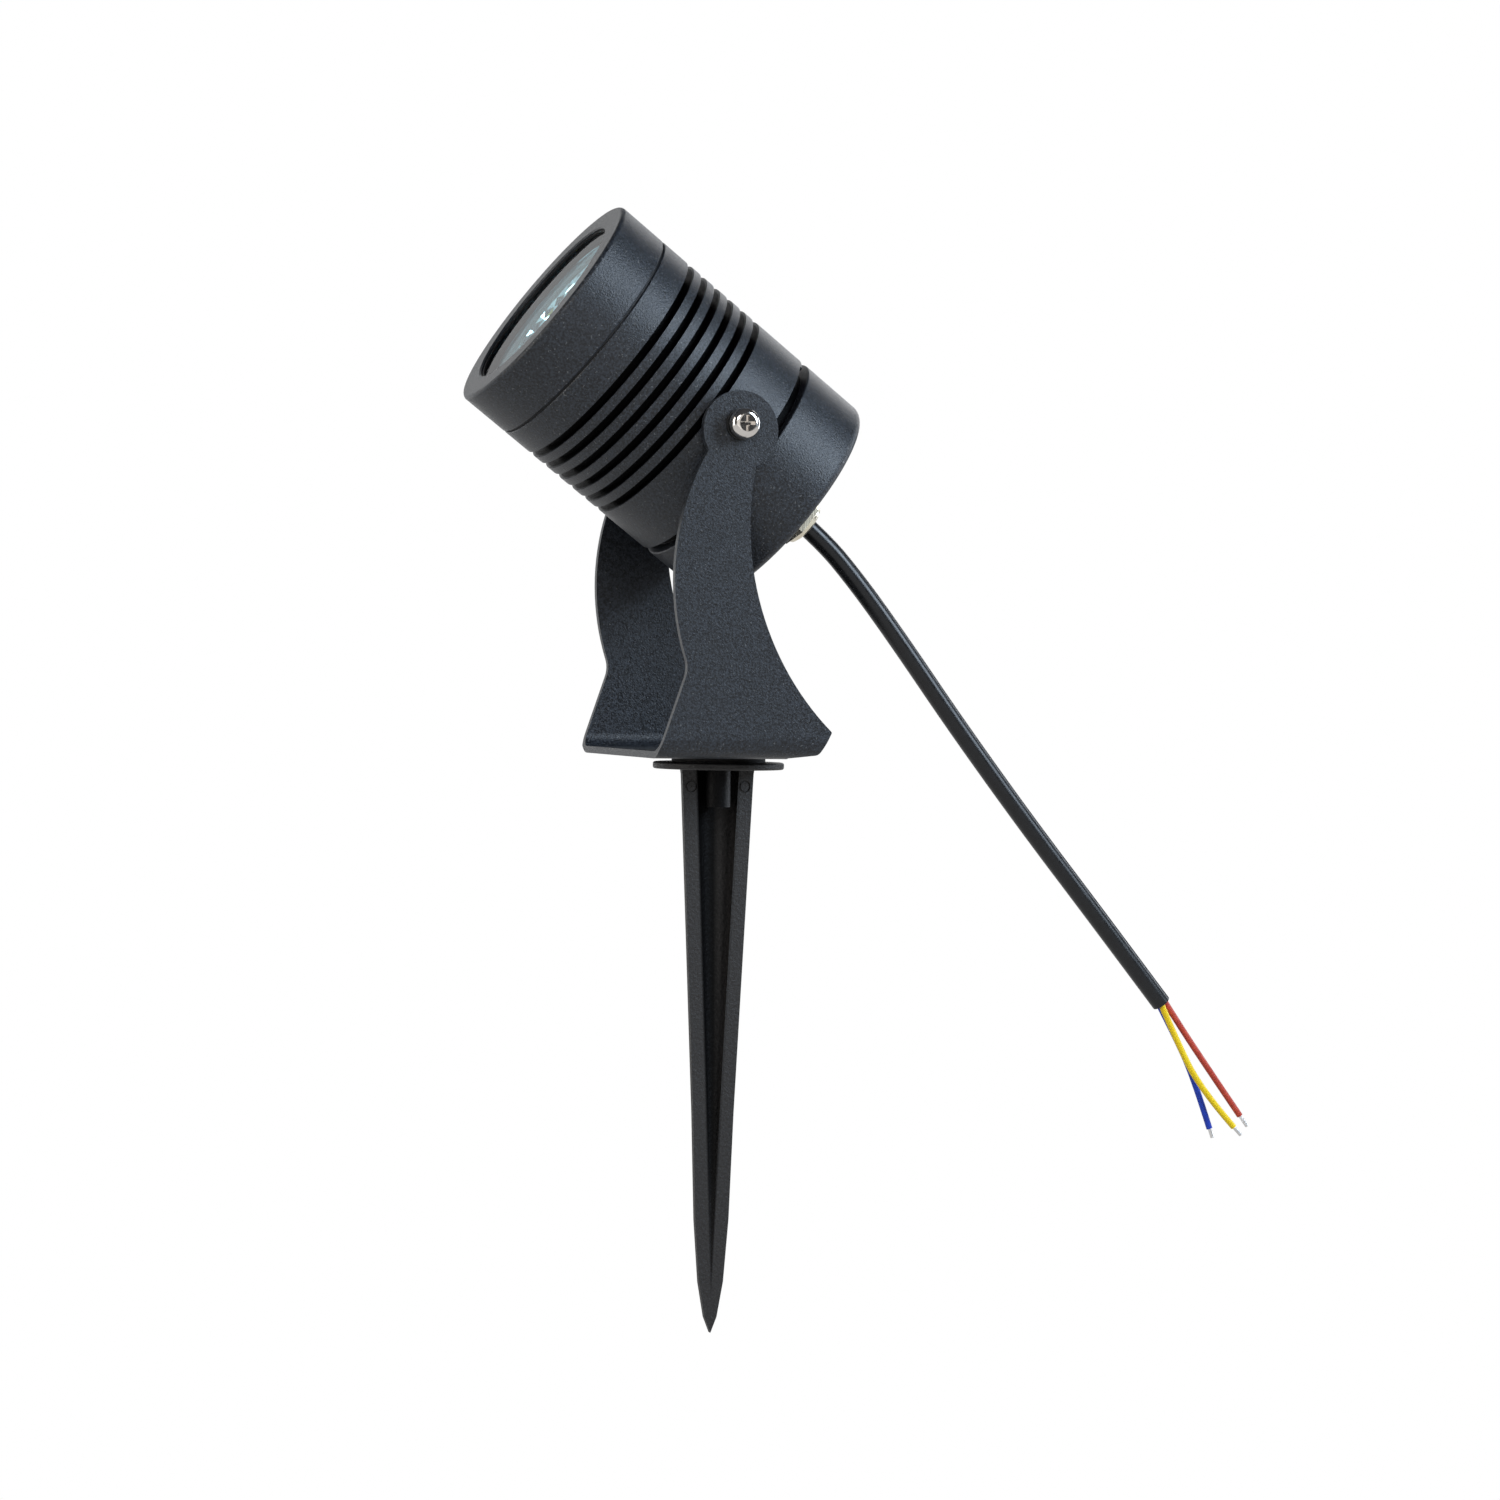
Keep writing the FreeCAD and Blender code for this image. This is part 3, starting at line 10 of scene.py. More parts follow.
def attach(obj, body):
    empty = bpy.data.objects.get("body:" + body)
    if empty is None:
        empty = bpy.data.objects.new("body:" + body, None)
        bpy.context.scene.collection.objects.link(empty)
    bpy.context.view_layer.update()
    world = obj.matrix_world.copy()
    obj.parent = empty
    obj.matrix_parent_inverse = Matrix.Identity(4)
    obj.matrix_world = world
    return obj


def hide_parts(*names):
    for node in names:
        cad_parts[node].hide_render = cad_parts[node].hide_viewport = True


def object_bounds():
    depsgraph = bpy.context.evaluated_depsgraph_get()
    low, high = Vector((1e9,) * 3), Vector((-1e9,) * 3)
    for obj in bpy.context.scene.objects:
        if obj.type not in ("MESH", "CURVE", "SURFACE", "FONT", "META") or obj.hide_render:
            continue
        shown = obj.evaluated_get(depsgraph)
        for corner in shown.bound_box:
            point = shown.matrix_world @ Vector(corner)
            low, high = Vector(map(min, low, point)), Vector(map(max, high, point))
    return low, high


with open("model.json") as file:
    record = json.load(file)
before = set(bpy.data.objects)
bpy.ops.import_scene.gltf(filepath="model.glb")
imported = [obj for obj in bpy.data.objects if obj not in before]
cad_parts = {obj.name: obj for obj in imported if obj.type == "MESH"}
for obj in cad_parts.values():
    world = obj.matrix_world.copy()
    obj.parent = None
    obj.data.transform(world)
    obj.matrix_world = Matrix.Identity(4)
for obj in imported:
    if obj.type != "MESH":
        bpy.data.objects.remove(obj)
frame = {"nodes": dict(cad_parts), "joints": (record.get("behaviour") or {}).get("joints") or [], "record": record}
NODES = frame["nodes"]
JOINTS = {joint["name"]: joint for joint in frame["joints"]}
SLOTS = {part["node"]: part["material_slot"] for part in frame["record"]["subparts"]}
CAD_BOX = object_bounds()
SCENE = bpy.context.scene
MM = 0.001

# Camera: where it stands, in metres, and where it looks, in degrees. Lens and sensor are in mm.
CAMERA_PLACE = (-0.31484, -0.90751, 0.02566)
CAMERA_AZIMUTH = -19.675
CAMERA_ELEVATION = 1.197
CAMERA_ROLL = 0.826
CAMERA_LENS = 79.64
CAMERA_SENSOR = 36

# Studio, in metres: the point that every light looks at, and the floor's disc.
LIGHT_TARGET = (0.01, 0, 0.03)
FLOOR_RADIUS = 4
FLOOR_SIDES = 64
FLOOR_DROP = 0.0005

# The lamp's axis: its rise above the horizontal in degrees, and the pivot's place along it in mm.
AIM = 37.0
PIVOT_STATION = 33.1

# Routes as (x, y, z) in mm: the lead's, from inside the gland to its sheath's end, then each core's.
LEAD_ROUTE = (
    (17.6, 0, 77.5),
    (30.5, 0, 67.8),
    (42.4, 0, 54.9),
    (56.2, 0, 37.6),
    (74.8, 0, 13.0),
    (98.5, 0, -16.6),
    (122.3, 0, -44.8),
    (143.8, 0, -70.7),
)
CORE_ROUTES = {
    "brown": ((144.8, 0.0, -70.0), (151.0, 0.1, -78.8), (160.6, 0.3, -91.6), (171.4, 0.2, -105.9)),
    "blue": ((143.55, 1.0, -71.2), (148.6, 1.3, -79.7), (155.8, 1.5, -93.2), (161.6, 1.2, -109.7)),
    "yellow": ((143.5, -1.05, -71.3), (148.4, -1.6, -82.0), (156.6, -1.9, -96.9), (168.5, -1.4, -109.1)),
}
LEAD_DIAMETER = 5.8
CORE_DIAMETER = 1.9

# Lamp sizes in mm. Stations run forward along its axis from the cap's rear face.
HEAD_RADIUS = 35.0
CAP_LENGTH = 21.6
REFLECTOR_LINE = ((8.5, 53.4), (14.93, 61.6), (19.82, 71.44), (23.8, 86.2))  # inner (radius, station)
REFLECTOR_WALL = 0.9
REFLECTOR_LIP = 1.6  # smooth band at its mouth
FACET_ROWS = 13
FACET_COLUMNS = 30
FACET_CROWDING = 0.85  # below 1, the rows get shorter towards the mouth
DISH_DEPTH = 0.30
# Largest random shift of a dish; "column" is a share of a column.
DISH_SPREADS = {"station": 0.25, "column": 0.1, "depth": 0.12}
COLLAR_STATIONS = (84.0, 86.1)
COLLAR_GAPS = (0.75, 0.15)  # from the reflector's wall inwards to the collar's inner and outer faces
COLLAR_COLUMNS = 120

# Painted shade in mm. A groove's colour is painted darker from GROOVE_START below the lamp's skin and is darkest
# at GROOVE_DARK.
# The spike's channel, where shade is painted, widens by its taper for each mm of height, and its painted shade
# fades out over CHANNEL_EDGE.
GROOVE_START = 0.35
GROOVE_DARK = 0.9
CAP_EDGE = 0.1  # over which the shade ends at the cap
CHANNEL_RADIUS = 6.4
CHANNEL_TAPER = 0.045
CHANNEL_EDGE = (0.1, 0.7)
CHANNEL_LIT_X = (0.6, 2.4)  # where the lit side of the channel begins and is full
CHANNEL_LIT = 0.75  # its share of full light

# The part of a noise's range that Shader.span spreads out, and sockets of the Mix node for colours.
NOISE_RANGE = (0.3, 0.7)
MIX_FACTOR, MIX_FIRST, MIX_SECOND, MIX_RESULT = 0, 6, 7, 2

# Clean-up of a CAD mesh before its edges are rounded: metres, then degrees.
WELD_DISTANCE = 1e-6
FLAT_ANGLE = 0.3
SHARP_ANGLE = 28


def link(thing):
    SCENE.collection.objects.link(thing)
    return thing


def lamp_frame():
    """From the lamp's own frame, +Z along its axis from the cap's rear face, to the part's frame."""
    pivot = Vector(JOINTS["tilt"]["pos_m"])
    turn = Matrix.Rotation(math.radians(AIM - 90), 4, "Y")
    axis = turn @ Vector((0, 0, 1))
    return Matrix.Translation(pivot - axis * PIVOT_STATION * MM) @ turn


LAMP = lamp_frame()


def lamp_point(radius, station, angle):
    """Point round the lamp's axis; radius and station in mm."""
    return LAMP @ (Vector((radius * math.cos(angle), radius * math.sin(angle), station)) * MM)


# ---------------------------------------------------------------- camera, floor and light
def make_camera():
    azimuth, elevation, roll = (math.radians(a) for a in (CAMERA_AZIMUTH, CAMERA_ELEVATION, CAMERA_ROLL))
    level = Vector((math.cos(azimuth), math.sin(azimuth), 0))
    spread = math.cos(elevation)
    back = Vector((math.sin(azimuth) * spread, -math.cos(azimuth) * spread, math.sin(elevation)))
    upright = back.cross(level)
    right = level * math.cos(roll) + upright * math.sin(roll)
    up = upright * math.cos(roll) - level * math.sin(roll)
    camera = link(bpy.data.objects.new("camera", bpy.data.cameras.new("camera")))
    camera.data.sensor_width = CAMERA_SENSOR
    camera.data.lens = CAMERA_LENS
    camera.data.clip_start = 0.01
    camera.data.clip_end = 20
    turn = Matrix((right, up, back)).transposed()
    camera.matrix_world = Matrix.Translation(CAMERA_PLACE) @ turn.to_4x4()
    SCENE.camera = camera


def make_world():
    """White to the camera; a dark room, slightly paler overhead, to everything else."""
    world = bpy.data.worlds.new("studio")
    SCENE.world = world
    world.use_nodes = True
    tree = world.node_tree
    tree.nodes.clear()
    out = tree.nodes.new("ShaderNodeOutputWorld")
    mix = tree.nodes.new("ShaderNodeMixShader")
    seen = tree.nodes.new("ShaderNodeBackground")
    room = tree.nodes.new("ShaderNodeBackground")
    path = tree.nodes.new("ShaderNodeLightPath")
    place = tree.nodes.new("ShaderNodeTexCoord")
    split = tree.nodes.new("ShaderNodeSeparateXYZ")
    ramp = tree.nodes.new("ShaderNodeValToRGB")
    seen.inputs["Color"].default_value = (1, 1, 1, 1)
    seen.inputs["Strength"].default_value = 1.0
    room.inputs["Strength"].default_value = 1.0
    ramp.color_ramp.elements[0].position = 0.0
    ramp.color_ramp.elements[0].color = (0.030, 0.030, 0.030, 1)
    ramp.color_ramp.elements[1].position = 1.0
    ramp.color_ramp.elements[1].color = (0.045, 0.047, 0.052, 1)
    tree.links.new(place.outputs["Generated"], split.inputs[0])
    tree.links.new(split.outputs["Z"], ramp.inputs["Fac"])
    tree.links.new(ramp.outputs["Color"], room.inputs["Color"])
    tree.links.new(path.outputs["Is Camera Ray"], mix.inputs["Fac"])
    tree.links.new(room.outputs[0], mix.inputs[1])
    tree.links.new(seen.outputs[0], mix.inputs[2])
    tree.links.new(mix.outputs[0], out.inputs["Surface"])


def softbox(name, direction, distance, width, height, power, colour):
    """Rectangular light that looks at the lamp from a direction, unseen by the camera."""
    light = bpy.data.lights.new(name, "AREA")
    light.shape = "RECTANGLE"
    light.size = width
    light.size_y = height
    light.energy = power
    light.color = colour
    lamp = link(bpy.data.objects.new(name, light))
    towards = Vector(direction).normalized()
    lamp.location = Vector(LIGHT_TARGET) + towards * distance
    lamp.rotation_mode = "QUATERNION"
    lamp.rotation_quaternion = towards.to_track_quat("Z", "Y")
    lamp.visible_camera = False


def make_lights():
    """Direction from the lamp; distance, width and height in metres; power in watts; colour."""
    softbox("key_right", (0.66, -0.62, 0.44), 1.3, 0.5, 0.8, 14, (0.72, 0.85, 1.0))
    softbox("side_left", (-0.96, -0.10, 0.24), 1.4, 0.5, 1.0, 7, (1.0, 0.96, 0.90))
    softbox("side_right", (0.95, 0.16, 0.05), 1.4, 0.3, 1.2, 6, (0.82, 0.90, 1.0))
    softbox("backdrop", (-0.14, 0.94, 0.24), 1.6, 3.2, 1.5, 14, (0.98, 0.99, 1.0))
    softbox("rim_right", (0.62, 0.66, 0.42), 1.4, 0.5, 0.8, 2.2, (1.0, 1.0, 1.0))
    softbox("front", (-0.20, -0.92, 0.20), 1.5, 1.2, 0.9, 2.6, (1.0, 0.98, 0.95))
    softbox("sparkle", (-0.32, -0.81, 0.47), 1.3, 0.45, 0.30, 3.4, (1.0, 1.0, 1.0))


def make_floor(height):
    mesh = bpy.data.meshes.new("floor")
    turns = [side * math.tau / FLOOR_SIDES for side in range(FLOOR_SIDES)]
    ring = [Vector((FLOOR_RADIUS * math.cos(t), FLOOR_RADIUS * math.sin(t), height)) for t in turns]
    mesh.from_pydata(ring, [], [list(range(FLOOR_SIDES))])
    floor = link(bpy.data.objects.new("floor", mesh))
    mesh.materials.append(floor_material())


# ---------------------------------------------------------------- materials
class Shader:
    """A material's node tree with short ways to add to it."""

    def __init__(self, name, metallic=0.0, roughness=0.5, ior=1.5):
        self.material = bpy.data.materials.new(name)
        self.material.use_nodes = True
        self.tree = self.material.node_tree
        self.bsdf = next(n for n in self.tree.nodes if n.type == "BSDF_PRINCIPLED")
        self.bsdf.inputs["Metallic"].default_value = metallic
        self.bsdf.inputs["Roughness"].default_value = roughness
        self.bsdf.inputs["IOR"].default_value = ior
        self.place = self.add("ShaderNodeTexCoord").outputs["Object"]

    def add(self, kind, **inputs):
        node = self.tree.nodes.new(kind)
        for key, value in inputs.items():
            node.inputs[key.replace("_", " ")].default_value = value
        return node

    def join(self, source, target):
        self.tree.links.new(source, target)

    def noise(self, scale, detail=2.0, roughness=0.5, stretch=None):
        """Noise of a scale per metre, stretched along the axes if asked."""
        node = self.add("ShaderNodeTexNoise", Scale=scale, Detail=detail, Roughness=roughness)
        source = self.place
        if stretch:
            mapping = self.add("ShaderNodeMapping", Scale=stretch)
            self.join(source, mapping.inputs["Vector"])
            source = mapping.outputs["Vector"]
        self.join(source, node.inputs["Vector"])
        return node.outputs["Fac"]

    def ramp(self, source, *stops):
        """Colour ramp over (position, colour) stops; a colour may be one number."""
        node = self.add("ShaderNodeValToRGB")
        while len(node.color_ramp.elements) < len(stops):
            node.color_ramp.elements.new(0.5)
        for element, (position, colour) in zip(node.color_ramp.elements, stops):
            element.position = position
            element.color = (*colour, 1) if isinstance(colour, tuple) else (colour, colour, colour, 1)
        self.join(source, node.inputs["Fac"])
        return node.outputs["Color"]

    def fit(self, source, low, high, to_low=0.0, to_high=1.0):
        """Map one range to another, and hold the ends beyond it."""
        node = self.add("ShaderNodeMapRange", From_Min=low, From_Max=high, To_Min=to_low, To_Max=to_high)
        self.join(source, node.inputs["Value"])
        return node.outputs["Result"]

    def span(self, source, low, high):
        """Map the middle of a noise's range to another range."""
        return self.fit(source, *NOISE_RANGE, low, high)

    def blend(self, factor, first, second):
        """Mix two colours, each a tuple or a socket."""
        node = self.tree.nodes.new("ShaderNodeMix")
        node.data_type = "RGBA"
        self.join(factor, node.inputs[MIX_FACTOR])
        for value, index in ((first, MIX_FIRST), (second, MIX_SECOND)):
            if isinstance(value, tuple):
                node.inputs[index].default_value = (*value, 1)
            else:
                self.join(value, node.inputs[index])
        return node.outputs[MIX_RESULT]

    def bump(self, source, strength, depth, before=None):
        """Surface relief of a depth in metres, on top of an earlier one if given."""
        node = self.add("ShaderNodeBump", Strength=strength, Distance=depth)
        self.join(source, node.inputs["Height"])
        if before is not None:
            self.join(before, node.inputs["Normal"])
        return node.outputs["Normal"]

    def vector(self, operation, first, second=None):
        """Vector maths of a socket with a constant vector."""
        node = self.add("ShaderNodeVectorMath")
        node.operation = operation
        self.join(first, node.inputs[0])
        if second is not None:
            node.inputs[1].default_value = second
        return node.outputs["Value" if operation in ("LENGTH", "DOT_PRODUCT") else "Vector"]

    def larger(self, first, second):
        node = self.add("ShaderNodeMath")
        node.operation = "MAXIMUM"
        self.join(first, node.inputs[0])
        self.join(second, node.inputs[1])
        return node.outputs[0]

    def groove_shade_mask(self):
        """Mask for painted groove shade: 0 below the lamp's outer skin and in front of its cap, 1 elsewhere."""
        offset = self.vector("SUBTRACT", self.place, LAMP @ Vector((0, 0, CAP_LENGTH * MM)))
        axis = LAMP.to_3x3() @ Vector((0, 0, 1))
        across = self.vector("LENGTH", self.vector("CROSS_PRODUCT", offset, axis))
        along = self.vector("DOT_PRODUCT", offset, axis)
        skin = self.fit(across, (HEAD_RADIUS - GROOVE_DARK) * MM, (HEAD_RADIUS - GROOVE_START) * MM)
        behind = self.fit(along, 0.0, CAP_EDGE * MM, 1.0, 0.0)
        return self.larger(skin, behind)

    def channel_shade_mask(self):
        """Mask for painted shade: 0 in the shaded side of the spike's channel, more in its lit side, and 1 outside
        it.
        """
        split = self.add("ShaderNodeSeparateXYZ")
        self.join(self.place, split.inputs[0])
        flat = self.add("ShaderNodeCombineXYZ")
        self.join(split.outputs["X"], flat.inputs["X"])
        self.join(split.outputs["Y"], flat.inputs["Y"])
        reach = self.vector("LENGTH", flat.outputs[0])
        edge = self.add("ShaderNodeMath")
        edge.operation = "MULTIPLY_ADD"
        self.join(split.outputs["Z"], edge.inputs[0])
        edge.inputs[1].default_value = -CHANNEL_TAPER
        self.join(reach, edge.inputs[2])
        inside, outside = ((CHANNEL_RADIUS + step) * MM for step in CHANNEL_EDGE)
        mask = self.fit(edge.outputs[0], inside, outside)
        shaded, lit = (x * MM for x in CHANNEL_LIT_X)
        return self.larger(mask, self.fit(split.outputs["X"], shaded, lit, 0.0, CHANNEL_LIT))

    def use(self, colour=None, roughness=None, normal=None, shine=None):
        """Join what is given to the surface, and give back the material."""
        sockets = ("Base Color", "Roughness", "Normal", "Specular IOR Level")
        for value, name in zip((colour, roughness, normal, shine), sockets):
            if value is not None:
                self.join(value, self.bsdf.inputs[name])
        return self.material


def scaled(colour, factor):
    return tuple(min(1.0, part * factor) for part in colour)


def floor_material():
    """Paper floor: white to the camera, dimmer in reflections, and mid grey where it lights the piece."""
    shader = Shader("floor_paper", roughness=0.9)
    shader.bsdf.inputs["Specular IOR Level"].default_value = 0.1
    tint = shader.ramp(shader.noise(3), (0.3, 0.42), (0.7, 0.45))
    shader.use(colour=tint)
    out = next(n for n in shader.tree.nodes if n.type == "OUTPUT_MATERIAL")
    path = shader.add("ShaderNodeLightPath")
    surface = shader.bsdf.outputs[0]
    for ray, strength in (("Is Glossy Ray", 0.60), ("Is Camera Ray", 1.0)):
        glow = shader.add("ShaderNodeEmission", Color=(1.0, 1.0, 1.0, 1.0), Strength=strength)
        mix = shader.add("ShaderNodeMixShader")
        shader.join(path.outputs[ray], mix.inputs[0])
        shader.join(surface, mix.inputs[1])
        shader.join(glow.outputs[0], mix.inputs[2])
        surface = mix.outputs[0]
    shader.join(surface, out.inputs["Surface"])
    return shader.material


def powder_coat(name, groove_shade=False):
    """Black powder coat: coarse orange peel, grain in its grey and a few paler grains.
    With groove shade, its colour is painted near-black and its specular lowered below the lamp's outer skin, in
    front of the cap: painted shade in the grooves."""
    shader = Shader(name, roughness=0.42)
    grain = shader.noise(1600, 2.0, 0.65)
    cloud = shader.noise(90, 3.0)
    body = shader.ramp(grain, (0.40, (0.003, 0.004, 0.006)), (0.62, (0.032, 0.039, 0.051)))
    body = shader.blend(shader.span(cloud, 0.0, 0.3), body, (0.015, 0.017, 0.021))
    fleck = shader.ramp(shader.noise(1500, 1.0), (0.68, 0.0), (0.74, 1.0))
    body = shader.blend(fleck, body, (0.11, 0.115, 0.12))
    peel = shader.bump(shader.noise(1700, 2.0, 0.6), 0.7, 0.00018)
    fine = shader.bump(shader.noise(2600, 2.0), 0.7, 0.0001, peel)
    shine = None
    if groove_shade:
        # Painted shade: in the grooves in front of the cap the colour is painted near-black and the specular
        # lowered.
        skin = shader.groove_shade_mask()
        body = shader.blend(skin, (0.0012, 0.0012, 0.0014), body)
        shine = shader.fit(skin, 0.0, 1.0, 0.04, 0.5)
    return shader.use(body, shader.span(grain, 0.32, 0.48), fine, shine)


def spike_plastic():
    """Black glass-filled nylon with a rough moulded skin and faint flow marks down its length, and painted shade
    in its channel, lighter on the channel's lit side.
    """
    shader = Shader("spike_plastic", roughness=0.5)
    grain = shader.noise(1500, 3.0, 0.65)
    flow = shader.noise(60, 3.0, 0.5, (1, 1, 0.12))
    body = shader.ramp(grain, (0.32, (0.006, 0.0055, 0.0055)), (0.70, (0.030, 0.027, 0.026)))
    body = shader.blend(shader.span(flow, 0.0, 0.5), body, (0.020, 0.018, 0.0175))
    skin = shader.bump(shader.noise(1000, 3.0, 0.65), 0.9, 0.0003)
    # Painted shade: the channel is painted near-black with less specular, and its lit side is painted lighter.
    lit = shader.channel_shade_mask()
    body = shader.blend(lit, (0.0018, 0.0018, 0.002), body)
    shine = shader.fit(lit, 0.0, 1.0, 0.12, 0.5)
    return shader.use(body, shader.span(grain, 0.36, 0.62), skin, shine)


def rubber(name, base):
    """Dull rubber with a fine grain."""
    shader = Shader(name, roughness=0.65)
    grain = shader.noise(1500, 2.0)
    body = shader.blend(shader.span(grain, 0.0, 1.0), scaled(base, 0.8), scaled(base, 1.3))
    return shader.use(body, shader.span(grain, 0.55, 0.75), shader.bump(grain, 0.2, 0.00005))


def bare_metal(name, base, roughness, tone=0.12):
    """Bare metal with a cloudy tone and a sheen that varies in fine streaks."""
    shader = Shader(name, metallic=1.0, roughness=roughness)
    cloud = shader.noise(400, 3.0)
    streak = shader.noise(2600, 2.0, 0.6, (1, 1, 0.08))
    body = shader.blend(shader.span(cloud, 0.0, 1.0), scaled(base, 1 - tone), scaled(base, 1 + tone))
    return shader.use(body, shader.span(streak, roughness * 0.8, roughness * 1.25))


def moulded(name, base, roughness=0.4):
    """Plain moulded or printed small part."""
    shader = Shader(name, roughness=roughness)
    cloud = shader.noise(300, 3.0)
    body = shader.blend(shader.span(cloud, 0.0, 1.0), scaled(base, 0.88), scaled(base, 1.08))
    sheen = shader.span(cloud, roughness * 0.9, roughness * 1.15)
    return shader.use(body, sheen, shader.bump(cloud, 0.1, 0.00003))


def two_tone(name, roughness, scale, detail, dark, bright, sheen):
    """Plain skin whose colour drifts between two tones, and its roughness over a range."""
    shader = Shader(name, roughness=roughness)
    cloud = shader.noise(scale, detail)
    body = shader.blend(shader.span(cloud, 0.0, 1.0), dark, bright)
    return shader.use(body, shader.span(cloud, *sheen))


def collar_plastic():
    """Blue-grey moulded plastic."""
    tones = (0.055, 0.105, 0.125), (0.075, 0.135, 0.155)
    return two_tone("collar_plastic", 0.45, 220, 3.0, *tones, (0.40, 0.52))


def core_skin(name, dark, bright):
    """Coloured insulation of one core."""
    return two_tone(name, 0.42, 250, 2.0, dark, bright, (0.38, 0.46))


def lens_material():
    """Glass with a blue-green tint. Its refraction is set low, so that its reflection at the photo's
    shallow angle doesn't hide the reflector."""
    shader = Shader("lens_glass", roughness=0.012, ior=1.07)
    shader.bsdf.inputs["Specular IOR Level"].default_value = 0.25
    shader.bsdf.inputs["Transmission Weight"].default_value = 1.0
    smear = shader.noise(45, 4.0)
    tint = shader.blend(shader.span(smear, 0.0, 1.0), (0.60, 0.84, 0.90), (0.66, 0.87, 0.92))
    return shader.use(colour=tint)


def lead_skin():
    """Black rubber sheath with a soft sheen and a faint grain."""
    shader = Shader("lead_skin", roughness=0.3)
    grain = shader.noise(900, 3.0)
    body = shader.ramp(grain, (0.3, (0.003, 0.0035, 0.0045)), (0.7, (0.007, 0.008, 0.010)))
    return shader.use(body, shader.span(grain, 0.26, 0.34), shader.bump(grain, 0.06, 0.00003))


MATERIALS = {
    "powder_coat": powder_coat("powder_coat"),
    "spike_plastic": spike_plastic(),
    "rubber": rubber("rubber", (0.004, 0.004, 0.0045)),
    "bright_steel": bare_metal("bright_steel", (0.80, 0.76, 0.72), 0.14, 0.05),
    "dark_steel": bare_metal("dark_steel", (0.10, 0.10, 0.10), 0.35),
    "nylon": moulded("nylon", (0.030, 0.030, 0.031)),
    "glass": lens_material(),
    "mirror_metal": bare_metal("mirror_metal", (0.93, 0.93, 0.93), 0.05, 0.03),
    "board_aluminium": moulded("board_white", (0.78, 0.78, 0.75), 0.35),
    "thermal_silicone": rubber("thermal_silicone", (0.30, 0.32, 0.34)),
    "phosphor": moulded("phosphor", (0.85, 0.62, 0.10), 0.5),
    "wire_white": core_skin("wire_white", (0.62, 0.60, 0.56), (0.74, 0.72, 0.68)),
    "board_green": moulded("board_green", (0.02, 0.14, 0.05), 0.3),
    "ferrite": moulded("ferrite", (0.035, 0.035, 0.038), 0.5),
    "capacitor_skin": moulded("capacitor_skin", (0.02, 0.03, 0.09), 0.25),
    "nickel_brass": bare_metal("nickel_brass", (0.95, 0.85, 0.69), 0.30),
    "lead_rubber": lead_skin(),
    "core_brown": core_skin("core_brown_skin", (0.50, 0.045, 0.024), (0.62, 0.075, 0.040)),
    "core_blue": core_skin("core_blue_skin", (0.004, 0.035, 0.42), (0.008, 0.055, 0.56)),
    "core_yellow": core_skin("core_yellow_skin", (1.0, 0.66, 0.0), (1.0, 0.74, 0.004)),
    "tinned_copper": bare_metal("tinned_copper", (0.86, 0.85, 0.84), 0.35),
}
# Powder coat with painted shade in the lamp's grooves.
GROOVE_SHADED_COAT = powder_coat("groove_shaded_coat", groove_shade=True)


def dress_nodes():
    """Give every CAD node the material of its slot."""
    for name, node in NODES.items():
        for slot in node.material_slots:
            slot.material = MATERIALS[SLOTS[name]]


# ---------------------------------------------------------------- pieces
def mesh_piece(name, shape, material):
    """Object made of a bmesh, which is freed."""
    mesh = bpy.data.meshes.new(name)
    shape.to_mesh(mesh)
    shape.free()
    mesh.materials.append(material)
    return link(bpy.data.objects.new(name, mesh))


def polished(node, body, round_mm, steps=2, material=None):
    """A CAD piece's own shape with its sharp edges rounded, as paint and tumbling leave them."""
    shape = bmesh.new()
    shape.from_mesh(NODES[node].data)
    bmesh.ops.remove_doubles(shape, verts=shape.verts, dist=WELD_DISTANCE)
    flat = math.radians(FLAT_ANGLE)
    bmesh.ops.dissolve_limit(shape, angle_limit=flat, verts=shape.verts, edges=shape.edges)
    least = math.radians(SHARP_ANGLE)
    joined = [edge for edge in shape.edges if len(edge.link_faces) == 2]
    bmesh.ops.bevel(
        shape,
        geom=[edge for edge in joined if edge.calc_face_angle() > least],
        offset=round_mm * MM,
        offset_type="OFFSET",
        segments=steps,
        profile=0.5,
        affect="EDGES",
        clamp_overlap=True,
    )
    piece = mesh_piece(node + "_finish", shape, material or MATERIALS[SLOTS[node]])
    for polygon in piece.data.polygons:
        polygon.use_smooth = True
    weigh = piece.modifiers.new("weighted_normals", "WEIGHTED_NORMAL")
    weigh.keep_sharp = True
    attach(piece, body)
    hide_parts(node)


def make_coated_pieces():
    polished("front_bezel", "head", 0.12)
    polished("housing", "head", 0.12, material=GROOVE_SHADED_COAT)
    polished("rear_cap", "head", 0.15, material=GROOVE_SHADED_COAT)
    polished("yoke_bracket", "yoke", 0.35, steps=3)


def make_bare_pieces():
    polished("ground_spike", "stake", 0.25)
    polished("gland_nut", "head", 0.2)
    polished("gland_body", "head", 0.2)


def route_curve(name, route, diameter, slot):
    """Cord along a route: a NURBS line with the route's points as its control points."""
    curve = bpy.data.curves.new(name, "CURVE")
    curve.dimensions = "3D"
    curve.bevel_depth = diameter * MM / 2
    curve.bevel_resolution = 8
    curve.use_fill_caps = True
    spline = curve.splines.new("NURBS")
    spline.points.add(len(route) - 1)
    for point, place in zip(spline.points, route):
        point.co = (*(Vector(place) * MM), 1)
    spline.order_u = 3
    spline.use_endpoint_u = True
    spline.resolution_u = 16
    curve.materials.append(MATERIALS[slot])
    return link(bpy.data.objects.new(name, curve))


